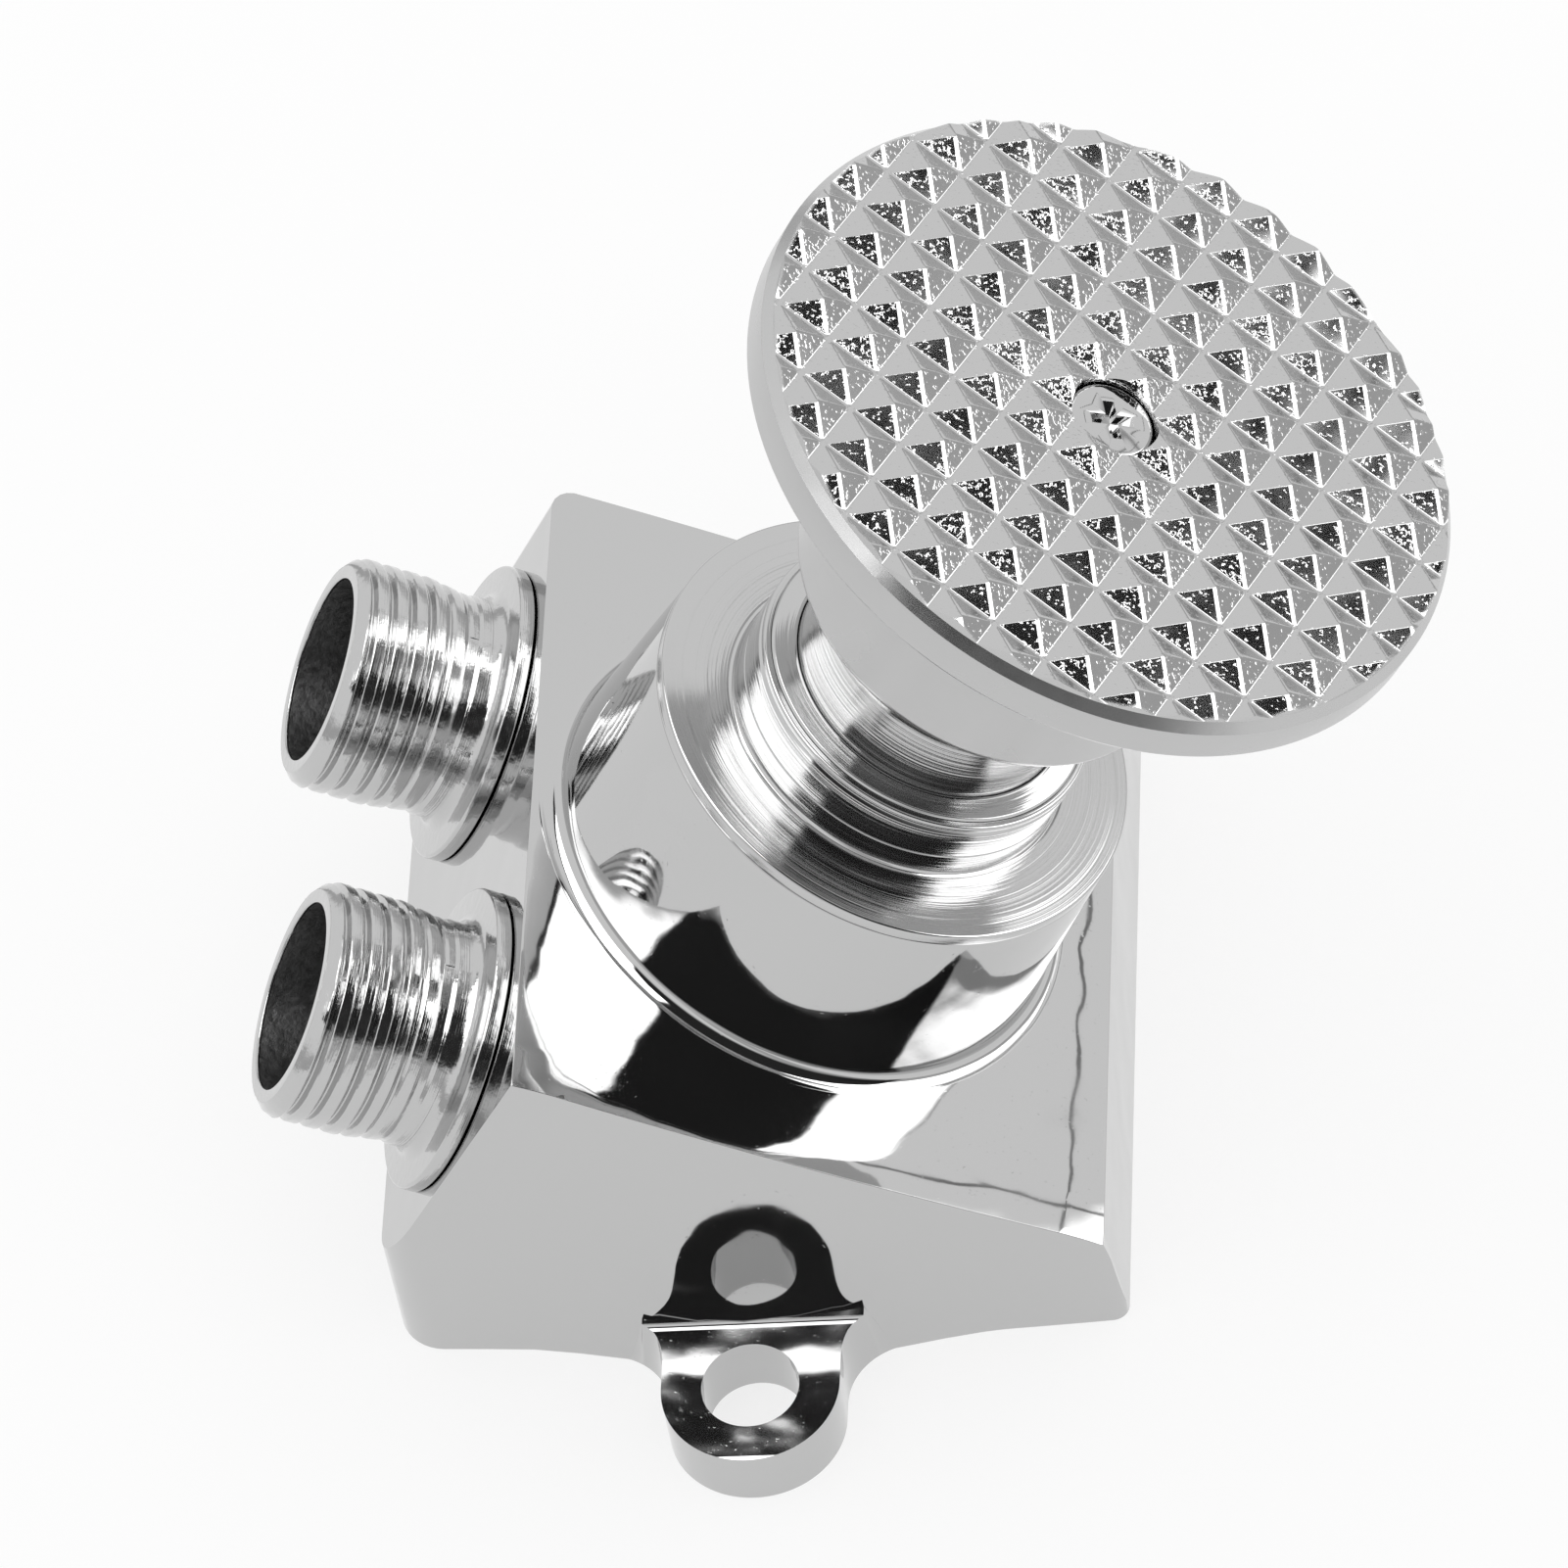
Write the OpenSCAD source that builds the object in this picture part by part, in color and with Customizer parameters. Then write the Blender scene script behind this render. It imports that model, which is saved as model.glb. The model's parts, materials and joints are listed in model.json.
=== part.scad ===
// Foot pedal tap valve for a floor: a wedge body with two threaded ports
// and a round treaded pedal that is pressed along an axis leaning to the user.
// Millimetres. Z is up from the floor, ports point to -X, the origin is the
// middle of the base on the floor. Pieces on the pedal axis are drawn in the
// leaning frame set by on_axis(): its zero is where the axis leaves the body's
// sloping top face, and its Z runs up along the pedal axis.

/* [Body] */
// Width of the base from the port side to the low side
base_w = 64; // [56:0.5:90]
// Depth of the base at its corners
base_d = 64; // [60:0.5:90]
// How far the front and back faces swell at mid width
face_crown = 1; // [0.4:0.1:2]
// Height of the upright plinth under the wedge
plinth_h = 11.5; // [9:0.1:16]
// Lean of the pedal axis from the upright, in degrees
lean = 30; // [25:0.5:32]
// How far the top of the low wall stands in from its foot
wall_draft = 1; // [0.4:0.1:2]
// Distance of the pedal axis from the crest, along the top face
axis_from_crest = 25.4; // [25:0.1:28]
// Corner radius of the base under the ports
heel_corner_r = 4; // [2:0.5:6]
// Corner radius of the base at the low side
toe_corner_r = 1.4; // [0.6:0.1:3]

/* [Mounting ears] */
// Distance of each fixing hole from the middle of the base
ear_reach = 41.4; // [40:0.1:48]
// Diameter of the fixing holes
ear_hole_d = 8.5; // [6:0.1:9]
// Radius of the rounded end of an ear
ear_end_r = 7.75; // [7:0.05:10]
// Thickness of an ear
ear_h = 5.8; // [4:0.1:8]
// Radius of the flare from an ear into the body, seen from above
ear_flare_r = 5.8; // [4:0.1:7]
// Radius of the corner between an ear's top and the body
ear_corner_r = 1.2; // [0.6:0.1:2]
// Chamfer round the top of each fixing hole
ear_hole_chamfer = 0.5; // [0.2:0.1:1]

/* [Boss] */
// Height of the boss above the sloping top face
boss_h = 19.05; // [17:0.05:24]
// Radius of the boss at its foot
boss_foot_r = 23; // [22.6:0.1:24]
// Radius of the boss at its top
boss_top_r = 21.65; // [21:0.05:22.4]
// Fillet round the foot of the boss
boss_fillet_r = 1.5; // [0.6:0.1:2]

/* [Bonnet] */
// Thickness of the bonnet's flange on the boss
flange_t = 1.1; // [0.8:0.05:2]
// Wall of the bonnet's neck round the gland
neck_wall = 1.42; // [1.2:0.01:2]
// Height of the neck's rim above the top face
neck_top = 26.3; // [25.8:0.05:29]
// Fillet between the flange and the neck
neck_fillet_r = 0.5; // [0.3:0.05:2]
// Radius of the bonnet's spigot in the body
spigot_r = 16.95; // [16:0.05:18]
// Height of the spigot's end above the top face
spigot_end = 8; // [7.6:0.1:9]
// Thickness of the floor at the bonnet's inner end
bonnet_floor_t = 3.4; // [3:0.1:4]
// Width of the turned groove under the neck's rim
neck_groove_w = 0.5; // [0.3:0.1:0.8]
// Depth of the turned groove
neck_groove_depth = 0.35; // [0.2:0.05:0.5]
// Thickness of the gasket under the spigot
bonnet_gasket_t = 1; // [0.6:0.1:1.4]
// Wall of the guide bush, the wiper and the gland's skirt
bush_wall = 1.05; // [0.8:0.05:1.3]
// Height of the guide bush's top above the top face
bush_top = 23; // [22:0.1:24]
// Height of the wiper seal
wiper_h = 1.9; // [1.4:0.1:2.4]
// Height of the gland ring's cone above the neck
gland_h = 1.44; // [1:0.02:2]
// Width of the flat on top of the gland ring
gland_flat = 0.35; // [0.2:0.05:0.6]

/* [Pedal] */
// Diameter of the pedal plate
pedal_d = 62; // [54:0.5:70]
// Height of the plate's underside above the top face
plate_under = 60.8; // [58:0.1:66]
// Thickness of the plate at its turned rim
plate_t = 4.2; // [3.6:0.1:6]
// Chamfer round the top of the plate, where the tread ends
rim_chamfer = 0.9; // [0.5:0.1:1.4]
// Spacing of the tread's pyramids
tread_pitch = 4.95; // [4:0.05:7]
// Height of the tread's pyramids
tread_h = 1; // [0.6:0.05:1.6]
// Turn of the tread's rows on the plate, in degrees
tread_turn = -26.8; // [-45:0.1:45]
// Radius of the hub under the plate
hub_r = 17.4; // [16:0.1:20]
// Height of the hub's lower edge above the top face
hub_low = 39.4; // [38.6:0.1:42]
// Height where the shank ends and the hub's cone begins
shank_top = 34.5; // [34:0.1:36]
// Radius of the pedal's sliding shank
shank_r = 12.3; // [12:0.05:12.6]
// Wall of the hollow shank
shank_wall = 2.1; // [1.6:0.1:2.4]
// Height of the shank's lower end above the top face
shank_low = 18.6; // [18.4:0.1:20]
// Height of the spring room's ceiling above the top face
spring_room_top = 34.9; // [34.5:0.1:36]
// How far the pedal is pressed
travel = 6; // [3:0.1:6]

/* [Pedal screw] */
// Radius of the pedal screw's head
screw_head_r = 3.83; // [3.4:0.01:4]
// Height of the screw's head
screw_head_h = 2.4; // [1.8:0.1:3]
// Radius of the screw's shank
screw_r = 2; // [1.5:0.1:2.5]
// Length of the screw's shank
screw_len = 20; // [16:0.5:22]
// How far the screw's head lies below the rim
screw_sink = 0.9; // [0.6:0.1:2]
// Thickness of the washer under the head
screw_washer_t = 0.8; // [0.5:0.1:1.2]
// Radius of the recess round the screw's head
screw_recess_r = 4.35; // [4.3:0.05:5]
// Length of each arm of the cross in the screw's head, tip to tip
cross_len = 4.4; // [3:0.1:5]
// Width of the arms of the cross
cross_w = 0.9; // [0.6:0.1:1.2]
// Depth of the cross
cross_depth = 1.3; // [0.8:0.1:1.8]

/* [Stem and spring] */
// Radius of the stem through the bonnet
stem_r = 5; // [4.4:0.1:5.2]
// Radius of the stem's tail through the seat
stem_tail_r = 3; // [2.4:0.1:3.4]
// Height of the stem's top above the top face
stem_top = 50; // [46:0.5:52]
// Height where the stem narrows to its tail
stem_step = 5; // [4.6:0.1:5.6]
// Radius of the clip under the bonnet's floor
clip_r = 7; // [6.4:0.1:7.6]
// Thickness of the clip
clip_t = 0.7; // [0.5:0.1:0.9]
// Depth of the clip's groove in the stem
clip_groove = 0.9; // [0.6:0.1:1.2]
// Section diameter of the stem's seal ring
seal_section = 1.8; // [1.4:0.1:2]
// Wire diameter of the return spring
spring_wire = 1.6; // [1.2:0.1:1.8]
// Mean radius of the return spring
spring_r = 7.6; // [7:0.1:8]
// Number of turns of the return spring
spring_turns = 6.5; // [5:0.5:7]
// Thickness of the washers at the spring's ends
spring_washer_t = 1; // [0.8:0.1:1.2]

/* [Seat and poppet] */
// Radius of the valve seat's ring
seat_r = 9.97; // [9.7:0.01:10.4]
// Radius of the hole through the seat
seat_hole_r = 6; // [5:0.1:6.4]
// Height of the seat's ring
seat_h = 3; // [2.4:0.1:3.6]
// Depth of the seat's upper face below the top face
seat_depth = 1; // [0.6:0.1:1.4]
// Radius of the poppet
poppet_r = 8.1; // [7.4:0.1:8.3]
// Thickness of the poppet
poppet_t = 3; // [2.4:0.1:3.2]
// Thickness of the poppet's rubber disc
poppet_seal_t = 2; // [1.4:0.1:2.2]
// Width across the poppet nut's flats
nut_flats = 9; // [8:0.5:10]
// Thickness of the poppet nut
nut_t = 2.6; // [2:0.1:2.8]
// How far the stem's tail passes the nut
tail_out = 0.4; // [0.2:0.1:0.6]

/* [Ports] */
// Half the distance between the two ports
port_y = 18; // [17:0.1:18.2]
// Depth of the port axes below the top face
port_depth = 15.4; // [14.4:0.1:16]
// Outer radius of the ports' threads
thread_r = 10.4775; // [10.2:0.0005:11]
// Reach of the nipples' ends from the pedal axis
port_reach = 40.6; // [38:0.1:46]
// Length of the threaded part
thread_len = 12.4; // [10:0.1:13]
// Radius of the plain shank between a thread and its flange
port_shank_r = 10; // [9.7:0.05:10.3]
// Fillet between the plain shank and the flange
port_fillet_r = 1; // [0.4:0.1:1.4]
// Chamfer at the thread's end
thread_chamfer = 1.1; // [0.6:0.1:1.5]
// Radius of the bore through a nipple
port_bore_r = 8.3; // [7:0.1:8.5]
// Radius of a nipple's flange
nipple_flange_r = 13.4; // [12:0.1:13.6]
// Thickness of a nipple's flange
nipple_flange_t = 1.2; // [0.9:0.1:1.4]
// Thickness of a port's gasket
port_gasket_t = 0.3; // [0.2:0.05:0.8]
// How far a gasket's edge stands in from its flange
port_gasket_inset = 1.4; // [0.3:0.1:2]
// Radius of a nipple's spigot in the body
nipple_spigot_r = 9.6; // [9.3:0.05:9.9]
// Length of a nipple's spigot in the body
nipple_spigot_len = 10; // [7:0.5:11]
// Wall of the inlet strainer's cup
strainer_wall = 0.6; // [0.4:0.1:0.8]
// Length of the inlet strainer's cup
strainer_len = 9; // [6:0.5:10]
// Radius of the holes in the strainer
strainer_hole_r = 1.1; // [0.6:0.1:1.3]

/* [Water ways] */
// Radius of the body's ways behind the ports
way_r = 6; // [5:0.1:6.4]
// How far the ways run past the pedal axis
way_past = 3; // [2:0.1:4]
// Radius of the cross way from the inlet to the lower room
inlet_cross_r = 4.2; // [3:0.1:4.4]
// Radius of the riser from the outlet to the upper room
riser_r = 3.4; // [2.6:0.1:3.6]
// Distance of the riser from the mid plane
riser_y = 15.6; // [15.2:0.1:16]
// Radius of the upper room over the seat
upper_room_r = 11; // [10.8:0.1:11.4]
// Radius of the lower room under the seat
lower_room_r = 9; // [8.7:0.1:9.2]
// Depth of the lower room below the top face
lower_room_depth = 19.4; // [18.8:0.1:19.8]

/* [Fits] */
// Clearance of pieces that are fixed in each other
fixed_fit = 0.03; // [0.01:0.01:0.08]
// Running clearance of pieces that slide in each other
slide_fit = 0.05; // [0.02:0.01:0.1]
// Gap between pieces that meet as the pedal moves
meet_gap = 0.3; // [0.1:0.05:0.4]

/* [Hidden] */
$fn = 96;
eps = 0.2;

chrome = [0.80, 0.82, 0.84];
bright_brass = [0.82, 0.69, 0.38];
steel = [0.62, 0.64, 0.66];
rubber = [0.12, 0.12, 0.13];
fibre = [0.45, 0.14, 0.10];
acetal = [0.90, 0.90, 0.86];

// The wedge: the top face and the port face meet at a right angle at the crest.
half_w = base_w / 2;
wedge_span = base_w - wall_draft;
port_face_len = wedge_span * sin(lean);
crest_x = -half_w + port_face_len * sin(lean);
crest_z = plinth_h + port_face_len * cos(lean);
axis_x = crest_x + axis_from_crest * cos(lean);
axis_z = crest_z - axis_from_crest * sin(lean);
face_mid = base_d / 2 + face_crown;
crown_r = (half_w * half_w + face_crown * face_crown) / (2 * face_crown);

// Heights on the pedal axis.
flange_top = boss_h + flange_t;
bonnet_floor_top = spigot_end + bonnet_floor_t;
socket_floor = spigot_end - bonnet_gasket_t;
bush_r = shank_r + slide_fit + bush_wall;
sleeve_r = bush_r + fixed_fit;
neck_r = sleeve_r + neck_wall;
wiper_top = bush_top + wiper_h;
gland_top = neck_top + gland_h;
plate_top = plate_under + plate_t;
screw_top = plate_top - screw_sink;
screw_seat = screw_top - screw_head_h;
recess_floor = screw_seat - screw_washer_t;
spring_low = bonnet_floor_top + spring_washer_t;
washer_low = spring_room_top - meet_gap - spring_washer_t;
clip_low = spigot_end - meet_gap - clip_t;
seat_low = -seat_depth - seat_h;
poppet_seal_top = seat_low - meet_gap;
poppet_top = poppet_seal_top - poppet_seal_t;
nut_top = poppet_top - poppet_t;
tail_end = nut_top - nut_t - tail_out;
seal_z = spigot_end + bonnet_floor_t / 2;
seal_ring_r = stem_r + slide_fit + seal_section / 2;

// Places on a port's axis, counted outwards from the pedal axis.
flange_in = axis_from_crest + port_gasket_t;
flange_out = flange_in + nipple_flange_t;
thread_in = port_reach - thread_len;
spigot_in = axis_from_crest - nipple_spigot_len;

function arc(cx, cy, r, from, to, steps) =
    [for (i = [0 : steps]) let (t = from + (to - from) * i / steps) [cx + r * cos(t), cy + r * sin(t)]];

module on_axis() {
    translate([axis_x, 0, axis_z]) rotate([0, lean, 0]) children();
}

// Along a port: Z runs outwards from the plane through the pedal axis.
module on_port(side) {
    on_axis() translate([0, side * port_y, -port_depth]) rotate([0, -90, 0]) children();
}

module ring(r_out, r_in, low, high) {
    rotate_extrude() polygon([[r_in, low], [r_out, low], [r_out, high], [r_in, high]]);
}

module rounded_plan() {
    reach = base_d / 2 + 0.5;
    union() {
        translate([-half_w + heel_corner_r, -reach])
            square([base_w - heel_corner_r - toe_corner_r, 2 * reach]);
        translate([-half_w, -reach + heel_corner_r])
            square([half_w, 2 * (reach - heel_corner_r)]);
        translate([-1, -reach + toe_corner_r])
            square([half_w + 1, 2 * (reach - toe_corner_r)]);
        for (s = [-1, 1]) {
            translate([-half_w + heel_corner_r, s * (reach - heel_corner_r)]) circle(r = heel_corner_r);
            translate([half_w - toe_corner_r, s * (reach - toe_corner_r)]) circle(r = toe_corner_r);
        }
        square([base_w - 2 * heel_corner_r, base_d], center = true);
    }
}

module wedge_block() {
    intersection() {
        rotate([90, 0, 0]) linear_extrude(height = 2 * face_mid + 4, center = true)
            polygon([[-half_w, 0], [half_w, 0], [half_w - wall_draft, plinth_h],
                     [crest_x, crest_z], [-half_w, plinth_h]]);
        translate([0, 0, -1]) linear_extrude(height = crest_z + 2) rounded_plan();
        translate([0, crown_r - face_mid, -1]) cylinder(r = crown_r, h = crest_z + 2, $fn = 720);
        translate([0, face_mid - crown_r, -1]) cylinder(r = crown_r, h = crest_z + 2, $fn = 720);
    }
}

// The front ear; the back one is turned half round.
module ear() {
    flare_x = ear_end_r + ear_flare_r;
    flare_y = face_mid - 0.3 + ear_flare_r;
    difference() {
        union() {
            linear_extrude(height = ear_h) union() {
                translate([0, -ear_reach]) circle(r = ear_end_r);
                translate([-ear_end_r, -ear_reach]) square([2 * ear_end_r, ear_reach - face_mid + 3]);
                difference() {
                    translate([-flare_x, -flare_y]) square([2 * flare_x, flare_y - face_mid + 3]);
                    for (s = [-1, 1]) translate([s * flare_x, -flare_y]) circle(r = ear_flare_r);
                }
            }
            translate([-ear_end_r - 1, 0, 0]) rotate([90, 0, 90]) linear_extrude(height = 2 * ear_end_r + 2)
                polygon(concat([[-face_mid + 2, ear_h - 1], [-face_mid + 2, ear_h + ear_corner_r]],
                    arc(-face_mid - ear_corner_r, ear_h + ear_corner_r, ear_corner_r, 0, -84, 4),
                    [[-face_mid - ear_corner_r, ear_h - 1]]));
        }
        translate([0, -ear_reach, -1]) cylinder(r = ear_hole_d / 2, h = ear_h + 2);
        translate([0, -ear_reach, ear_h - ear_hole_chamfer])
            cylinder(r1 = ear_hole_d / 2, r2 = ear_hole_d / 2 + 2 * ear_hole_chamfer, h = 2 * ear_hole_chamfer);
    }
}

module boss() {
    rotate_extrude() polygon(concat([[0, -2], [boss_foot_r + boss_fillet_r - 0.1, -2]],
        arc(boss_foot_r + boss_fillet_r, boss_fillet_r, boss_fillet_r, 264, 184, 5),
        [[boss_top_r, boss_h], [0, boss_h]]));
}

module bonnet_and_seat_bores() {
    union() {
        translate([0, 0, socket_floor]) cylinder(r = spigot_r + fixed_fit, h = boss_h);
        translate([0, 0, -seat_depth - eps]) cylinder(r = upper_room_r, h = socket_floor + seat_depth + 2 * eps);
        translate([0, 0, seat_low]) cylinder(r = seat_r + fixed_fit, h = seat_h);
        translate([0, 0, -lower_room_depth]) cylinder(r = lower_room_r, h = lower_room_depth + seat_low + eps);
    }
}

module port_ways() {
    for (s = [-1, 1]) on_port(s) {
        translate([0, 0, spigot_in]) cylinder(r = nipple_spigot_r + fixed_fit, h = nipple_spigot_len + 20);
        translate([0, 0, -way_past]) cylinder(r = way_r, h = spigot_in + way_past + 1);
    }
    // Inlet at the back: a cross way into the lower room.
    on_axis() translate([-2, 0, -port_depth + 0.6]) rotate([-90, 0, 0]) cylinder(r = inlet_cross_r, h = port_y);
    // Outlet at the front: a riser, then a cross way into the upper room.
    on_axis() translate([-2, -riser_y, -port_depth]) cylinder(r = riser_r, h = port_depth + socket_floor - 1.6);
    on_axis() translate([-2, -riser_y, (socket_floor - seat_depth) / 2])
        rotate([-90, 0, 0]) cylinder(r = riser_r - 0.8, h = riser_y - 4);
}

module valve_body() {
    color(chrome) difference() {
        union() {
            wedge_block();
            on_axis() boss();
            ear();
            rotate([0, 0, 180]) ear();
        }
        on_axis() bonnet_and_seat_bores();
        port_ways();
    }
}

module nipple_shape() {
    rotate_extrude() polygon(concat(
        [[port_bore_r, spigot_in], [nipple_spigot_r, spigot_in], [nipple_spigot_r, flange_in],
         [nipple_flange_r, flange_in], [nipple_flange_r, flange_out]],
        arc(port_shank_r + port_fillet_r, flange_out + port_fillet_r, port_fillet_r, 270, 180, 5),
        [[port_shank_r, thread_in], [thread_r, thread_in + 0.6], [thread_r, port_reach - thread_chamfer],
         [thread_r - thread_chamfer, port_reach], [port_bore_r, port_reach]]));
}

module inlet_nipple() { color(chrome) on_port(1) nipple_shape(); }
module outlet_nipple() { color(chrome) on_port(-1) nipple_shape(); }

module port_gasket() {
    ring(nipple_flange_r - port_gasket_inset, nipple_spigot_r + fixed_fit, axis_from_crest, flange_in);
}

module inlet_gasket() { color(rubber) on_port(1) port_gasket(); }
module outlet_gasket() { color(rubber) on_port(-1) port_gasket(); }

// A drilled cup pushed into the inner end of the inlet's bore.
module inlet_strainer() {
    cup_r = port_bore_r - fixed_fit;
    row_r = (cup_r - strainer_wall) * 0.6;
    color(steel) on_port(1) difference() {
        translate([0, 0, spigot_in]) cylinder(r = cup_r, h = strainer_len);
        translate([0, 0, spigot_in - 1]) cylinder(r = cup_r - strainer_wall, h = strainer_len + 1 - strainer_wall);
        for (i = [0 : 5]) rotate([0, 0, i * 60]) translate([row_r, 0, spigot_in])
            cylinder(r = strainer_hole_r, h = strainer_len + 1, $fn = 32);
        translate([0, 0, spigot_in]) cylinder(r = strainer_hole_r, h = strainer_len + 1, $fn = 32);
    }
}

module bonnet() {
    groove_z = neck_top - 2 * neck_groove_w;
    color(chrome) on_axis() difference() {
        rotate_extrude() polygon(concat(
            [[stem_r + slide_fit, spigot_end], [spigot_r, spigot_end], [spigot_r, boss_h],
             [boss_top_r, boss_h], [boss_top_r, flange_top]],
            arc(neck_r + neck_fillet_r, flange_top + neck_fillet_r, neck_fillet_r, 270, 180, 6),
            [[neck_r, groove_z - neck_groove_w], [neck_r - neck_groove_depth, groove_z],
             [neck_r, groove_z + neck_groove_w], [neck_r, neck_top], [sleeve_r, neck_top],
             [sleeve_r, bonnet_floor_top], [stem_r + slide_fit, bonnet_floor_top]]));
        ring(seal_ring_r + seal_section / 2 + fixed_fit, stem_r - 1,
             seal_z - seal_section / 2 - fixed_fit, seal_z + seal_section / 2 + fixed_fit);
    }
}

module bonnet_gasket() { color(fibre) on_axis() ring(spigot_r, upper_room_r, socket_floor, spigot_end); }

module guide_bush() { color(acetal) on_axis() ring(bush_r, shank_r + slide_fit, bonnet_floor_top, bush_top); }

// A ring with a lip that leans up to the shank.
module wiper_seal() {
    lip = bush_wall * 0.55;
    color(rubber) on_axis() rotate_extrude() polygon([
        [shank_r + slide_fit + lip, bush_top], [bush_r, bush_top], [bush_r, wiper_top],
        [shank_r + slide_fit, wiper_top], [shank_r + slide_fit, wiper_top - wiper_h * 0.35]]);
}

module gland_ring() {
    hole_r = shank_r + slide_fit;
    color(chrome) on_axis() rotate_extrude() polygon([
        [hole_r, wiper_top], [bush_r, wiper_top], [bush_r, neck_top], [neck_r, neck_top],
        [hole_r + gland_flat, gland_top], [hole_r, gland_top]]);
}

// Rows of ridges along one direction; two crossed sets leave pyramids.
module ridges() {
    count = ceil(pedal_d / 2 / tread_pitch);
    reach = (count + 0.5) * tread_pitch;
    rotate([90, 0, 0]) linear_extrude(height = 2 * reach, center = true) polygon(concat(
        [[-reach, -1]],
        [for (i = [-count : count]) each [[(i - 0.5) * tread_pitch, 0], [i * tread_pitch, tread_h]]],
        [[reach, 0], [reach, -1]]));
}

module tread() {
    intersection() {
        ridges();
        rotate([0, 0, 90]) ridges();
        translate([0, 0, -1]) cylinder(r = pedal_d / 2 - rim_chamfer, h = tread_h + 2);
    }
}

module pedal_plate() {
    plate_r = pedal_d / 2;
    shank_in_r = shank_r - shank_wall;
    edge = 0.35;
    color(chrome) on_axis() difference() {
        union() {
            rotate_extrude() polygon([
                [0, spring_room_top], [shank_in_r, spring_room_top], [shank_in_r, shank_low],
                [shank_r - edge, shank_low], [shank_r, shank_low + edge], [shank_r, shank_top],
                [hub_r, hub_low], [hub_r, plate_under], [plate_r - edge, plate_under],
                [plate_r, plate_under + edge], [plate_r, plate_top - rim_chamfer],
                [plate_r - rim_chamfer, plate_top], [0, plate_top]]);
            translate([0, 0, plate_top]) rotate([0, 0, tread_turn]) tread();
        }
        translate([0, 0, spring_room_top - 1]) cylinder(r = stem_r + fixed_fit, h = stem_top - spring_room_top + 1);
        translate([0, 0, stem_top - 1]) cylinder(r = screw_r + 0.2, h = plate_under - stem_top + 4);
        translate([0, 0, recess_floor]) cylinder(r = screw_recess_r, h = 12);
    }
}

module pedal_screw() {
    dome = 0.5;
    color(steel) on_axis() difference() {
        rotate_extrude() polygon([
            [0, screw_seat - screw_len], [screw_r, screw_seat - screw_len], [screw_r, screw_seat],
            [screw_head_r, screw_seat], [screw_head_r, screw_top - dome],
            [screw_head_r - dome, screw_top], [0, screw_top]]);
        for (a = [0, 90]) rotate([0, 0, a + tread_turn]) translate([0, 0, screw_top - cross_depth / 2 + 0.25])
            cube([cross_len, cross_w, cross_depth + 0.5], center = true);
    }
}

module screw_washer() { color(steel) on_axis() ring(screw_head_r, screw_r + 0.2, recess_floor, screw_seat); }

module stem() {
    chamfer = 0.5;
    hole_low = screw_seat - screw_len - 1;
    color(bright_brass) on_axis() difference() {
        rotate_extrude() polygon([
            [0, tail_end], [stem_tail_r - chamfer, tail_end], [stem_tail_r, tail_end + chamfer],
            [stem_tail_r, stem_step], [stem_r, stem_step], [stem_r, clip_low - fixed_fit],
            [stem_r - clip_groove, clip_low - fixed_fit], [stem_r - clip_groove, clip_low + clip_t + fixed_fit],
            [stem_r, clip_low + clip_t + fixed_fit], [stem_r, stem_top - chamfer],
            [stem_r - chamfer, stem_top], [0, stem_top]]);
        translate([0, 0, hole_low]) cylinder(r = screw_r + fixed_fit, h = stem_top - hole_low + 1);
    }
}

module stem_seal() {
    color(rubber) on_axis() rotate_extrude() translate([seal_ring_r, seal_z]) circle(d = seal_section, $fn = 32);
}

// A clip that is open on one side.
module stem_clip() {
    hole_r = stem_r - clip_groove + fixed_fit;
    color(steel) on_axis() translate([0, 0, clip_low]) difference() {
        cylinder(r = clip_r, h = clip_t);
        translate([0, 0, -1]) cylinder(r = hole_r, h = clip_t + 2);
        translate([0, -hole_r * 0.8, -1]) cube([clip_r + 1, hole_r * 1.6, clip_t + 2]);
    }
}

// One unbroken wire of round turns.
spring_from = spring_low + spring_wire / 2 + 0.1;
spring_to = washer_low - spring_wire / 2 - 0.1;
spring_pitch = (spring_to - spring_from) / spring_turns;
echo(spring_least_gap = spring_pitch - spring_wire, spring_gap_pressed = spring_pitch - travel / spring_turns - spring_wire);

module return_spring() {
    sides = 6;
    rings = ceil(spring_turns * 16);
    rise = atan2(spring_pitch, 2 * PI * spring_r);
    points = [for (i = [0 : rings]) let (t = 360 * spring_turns * i / rings)
        for (k = [0 : sides - 1]) let (q = 360 * k / sides, out = spring_wire / 2 * cos(q), up = spring_wire / 2 * sin(q))
            [(spring_r + out) * cos(t) + up * sin(rise) * sin(t),
             (spring_r + out) * sin(t) - up * sin(rise) * cos(t),
             spring_from + spring_pitch * t / 360 + up * cos(rise)]];
    sides_a = [for (i = [0 : rings - 1], k = [0 : sides - 1])
        [i * sides + k, (i + 1) * sides + k, i * sides + (k + 1) % sides]];
    sides_b = [for (i = [0 : rings - 1], k = [0 : sides - 1])
        [i * sides + (k + 1) % sides, (i + 1) * sides + k, (i + 1) * sides + (k + 1) % sides]];
    start = [for (k = [1 : sides - 2]) [0, k, k + 1]];
    last = [for (k = [1 : sides - 2]) [rings * sides, rings * sides + k + 1, rings * sides + k]];
    color(steel) on_axis() polyhedron(points, concat(sides_a, sides_b, start, last));
}

module spring_seat() {
    color(steel) on_axis() ring(shank_r - shank_wall - meet_gap, stem_r + meet_gap, bonnet_floor_top, spring_low);
}

module thrust_washer() {
    color(steel) on_axis()
        ring(shank_r - shank_wall - meet_gap, stem_r + meet_gap, washer_low, washer_low + spring_washer_t);
}

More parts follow.
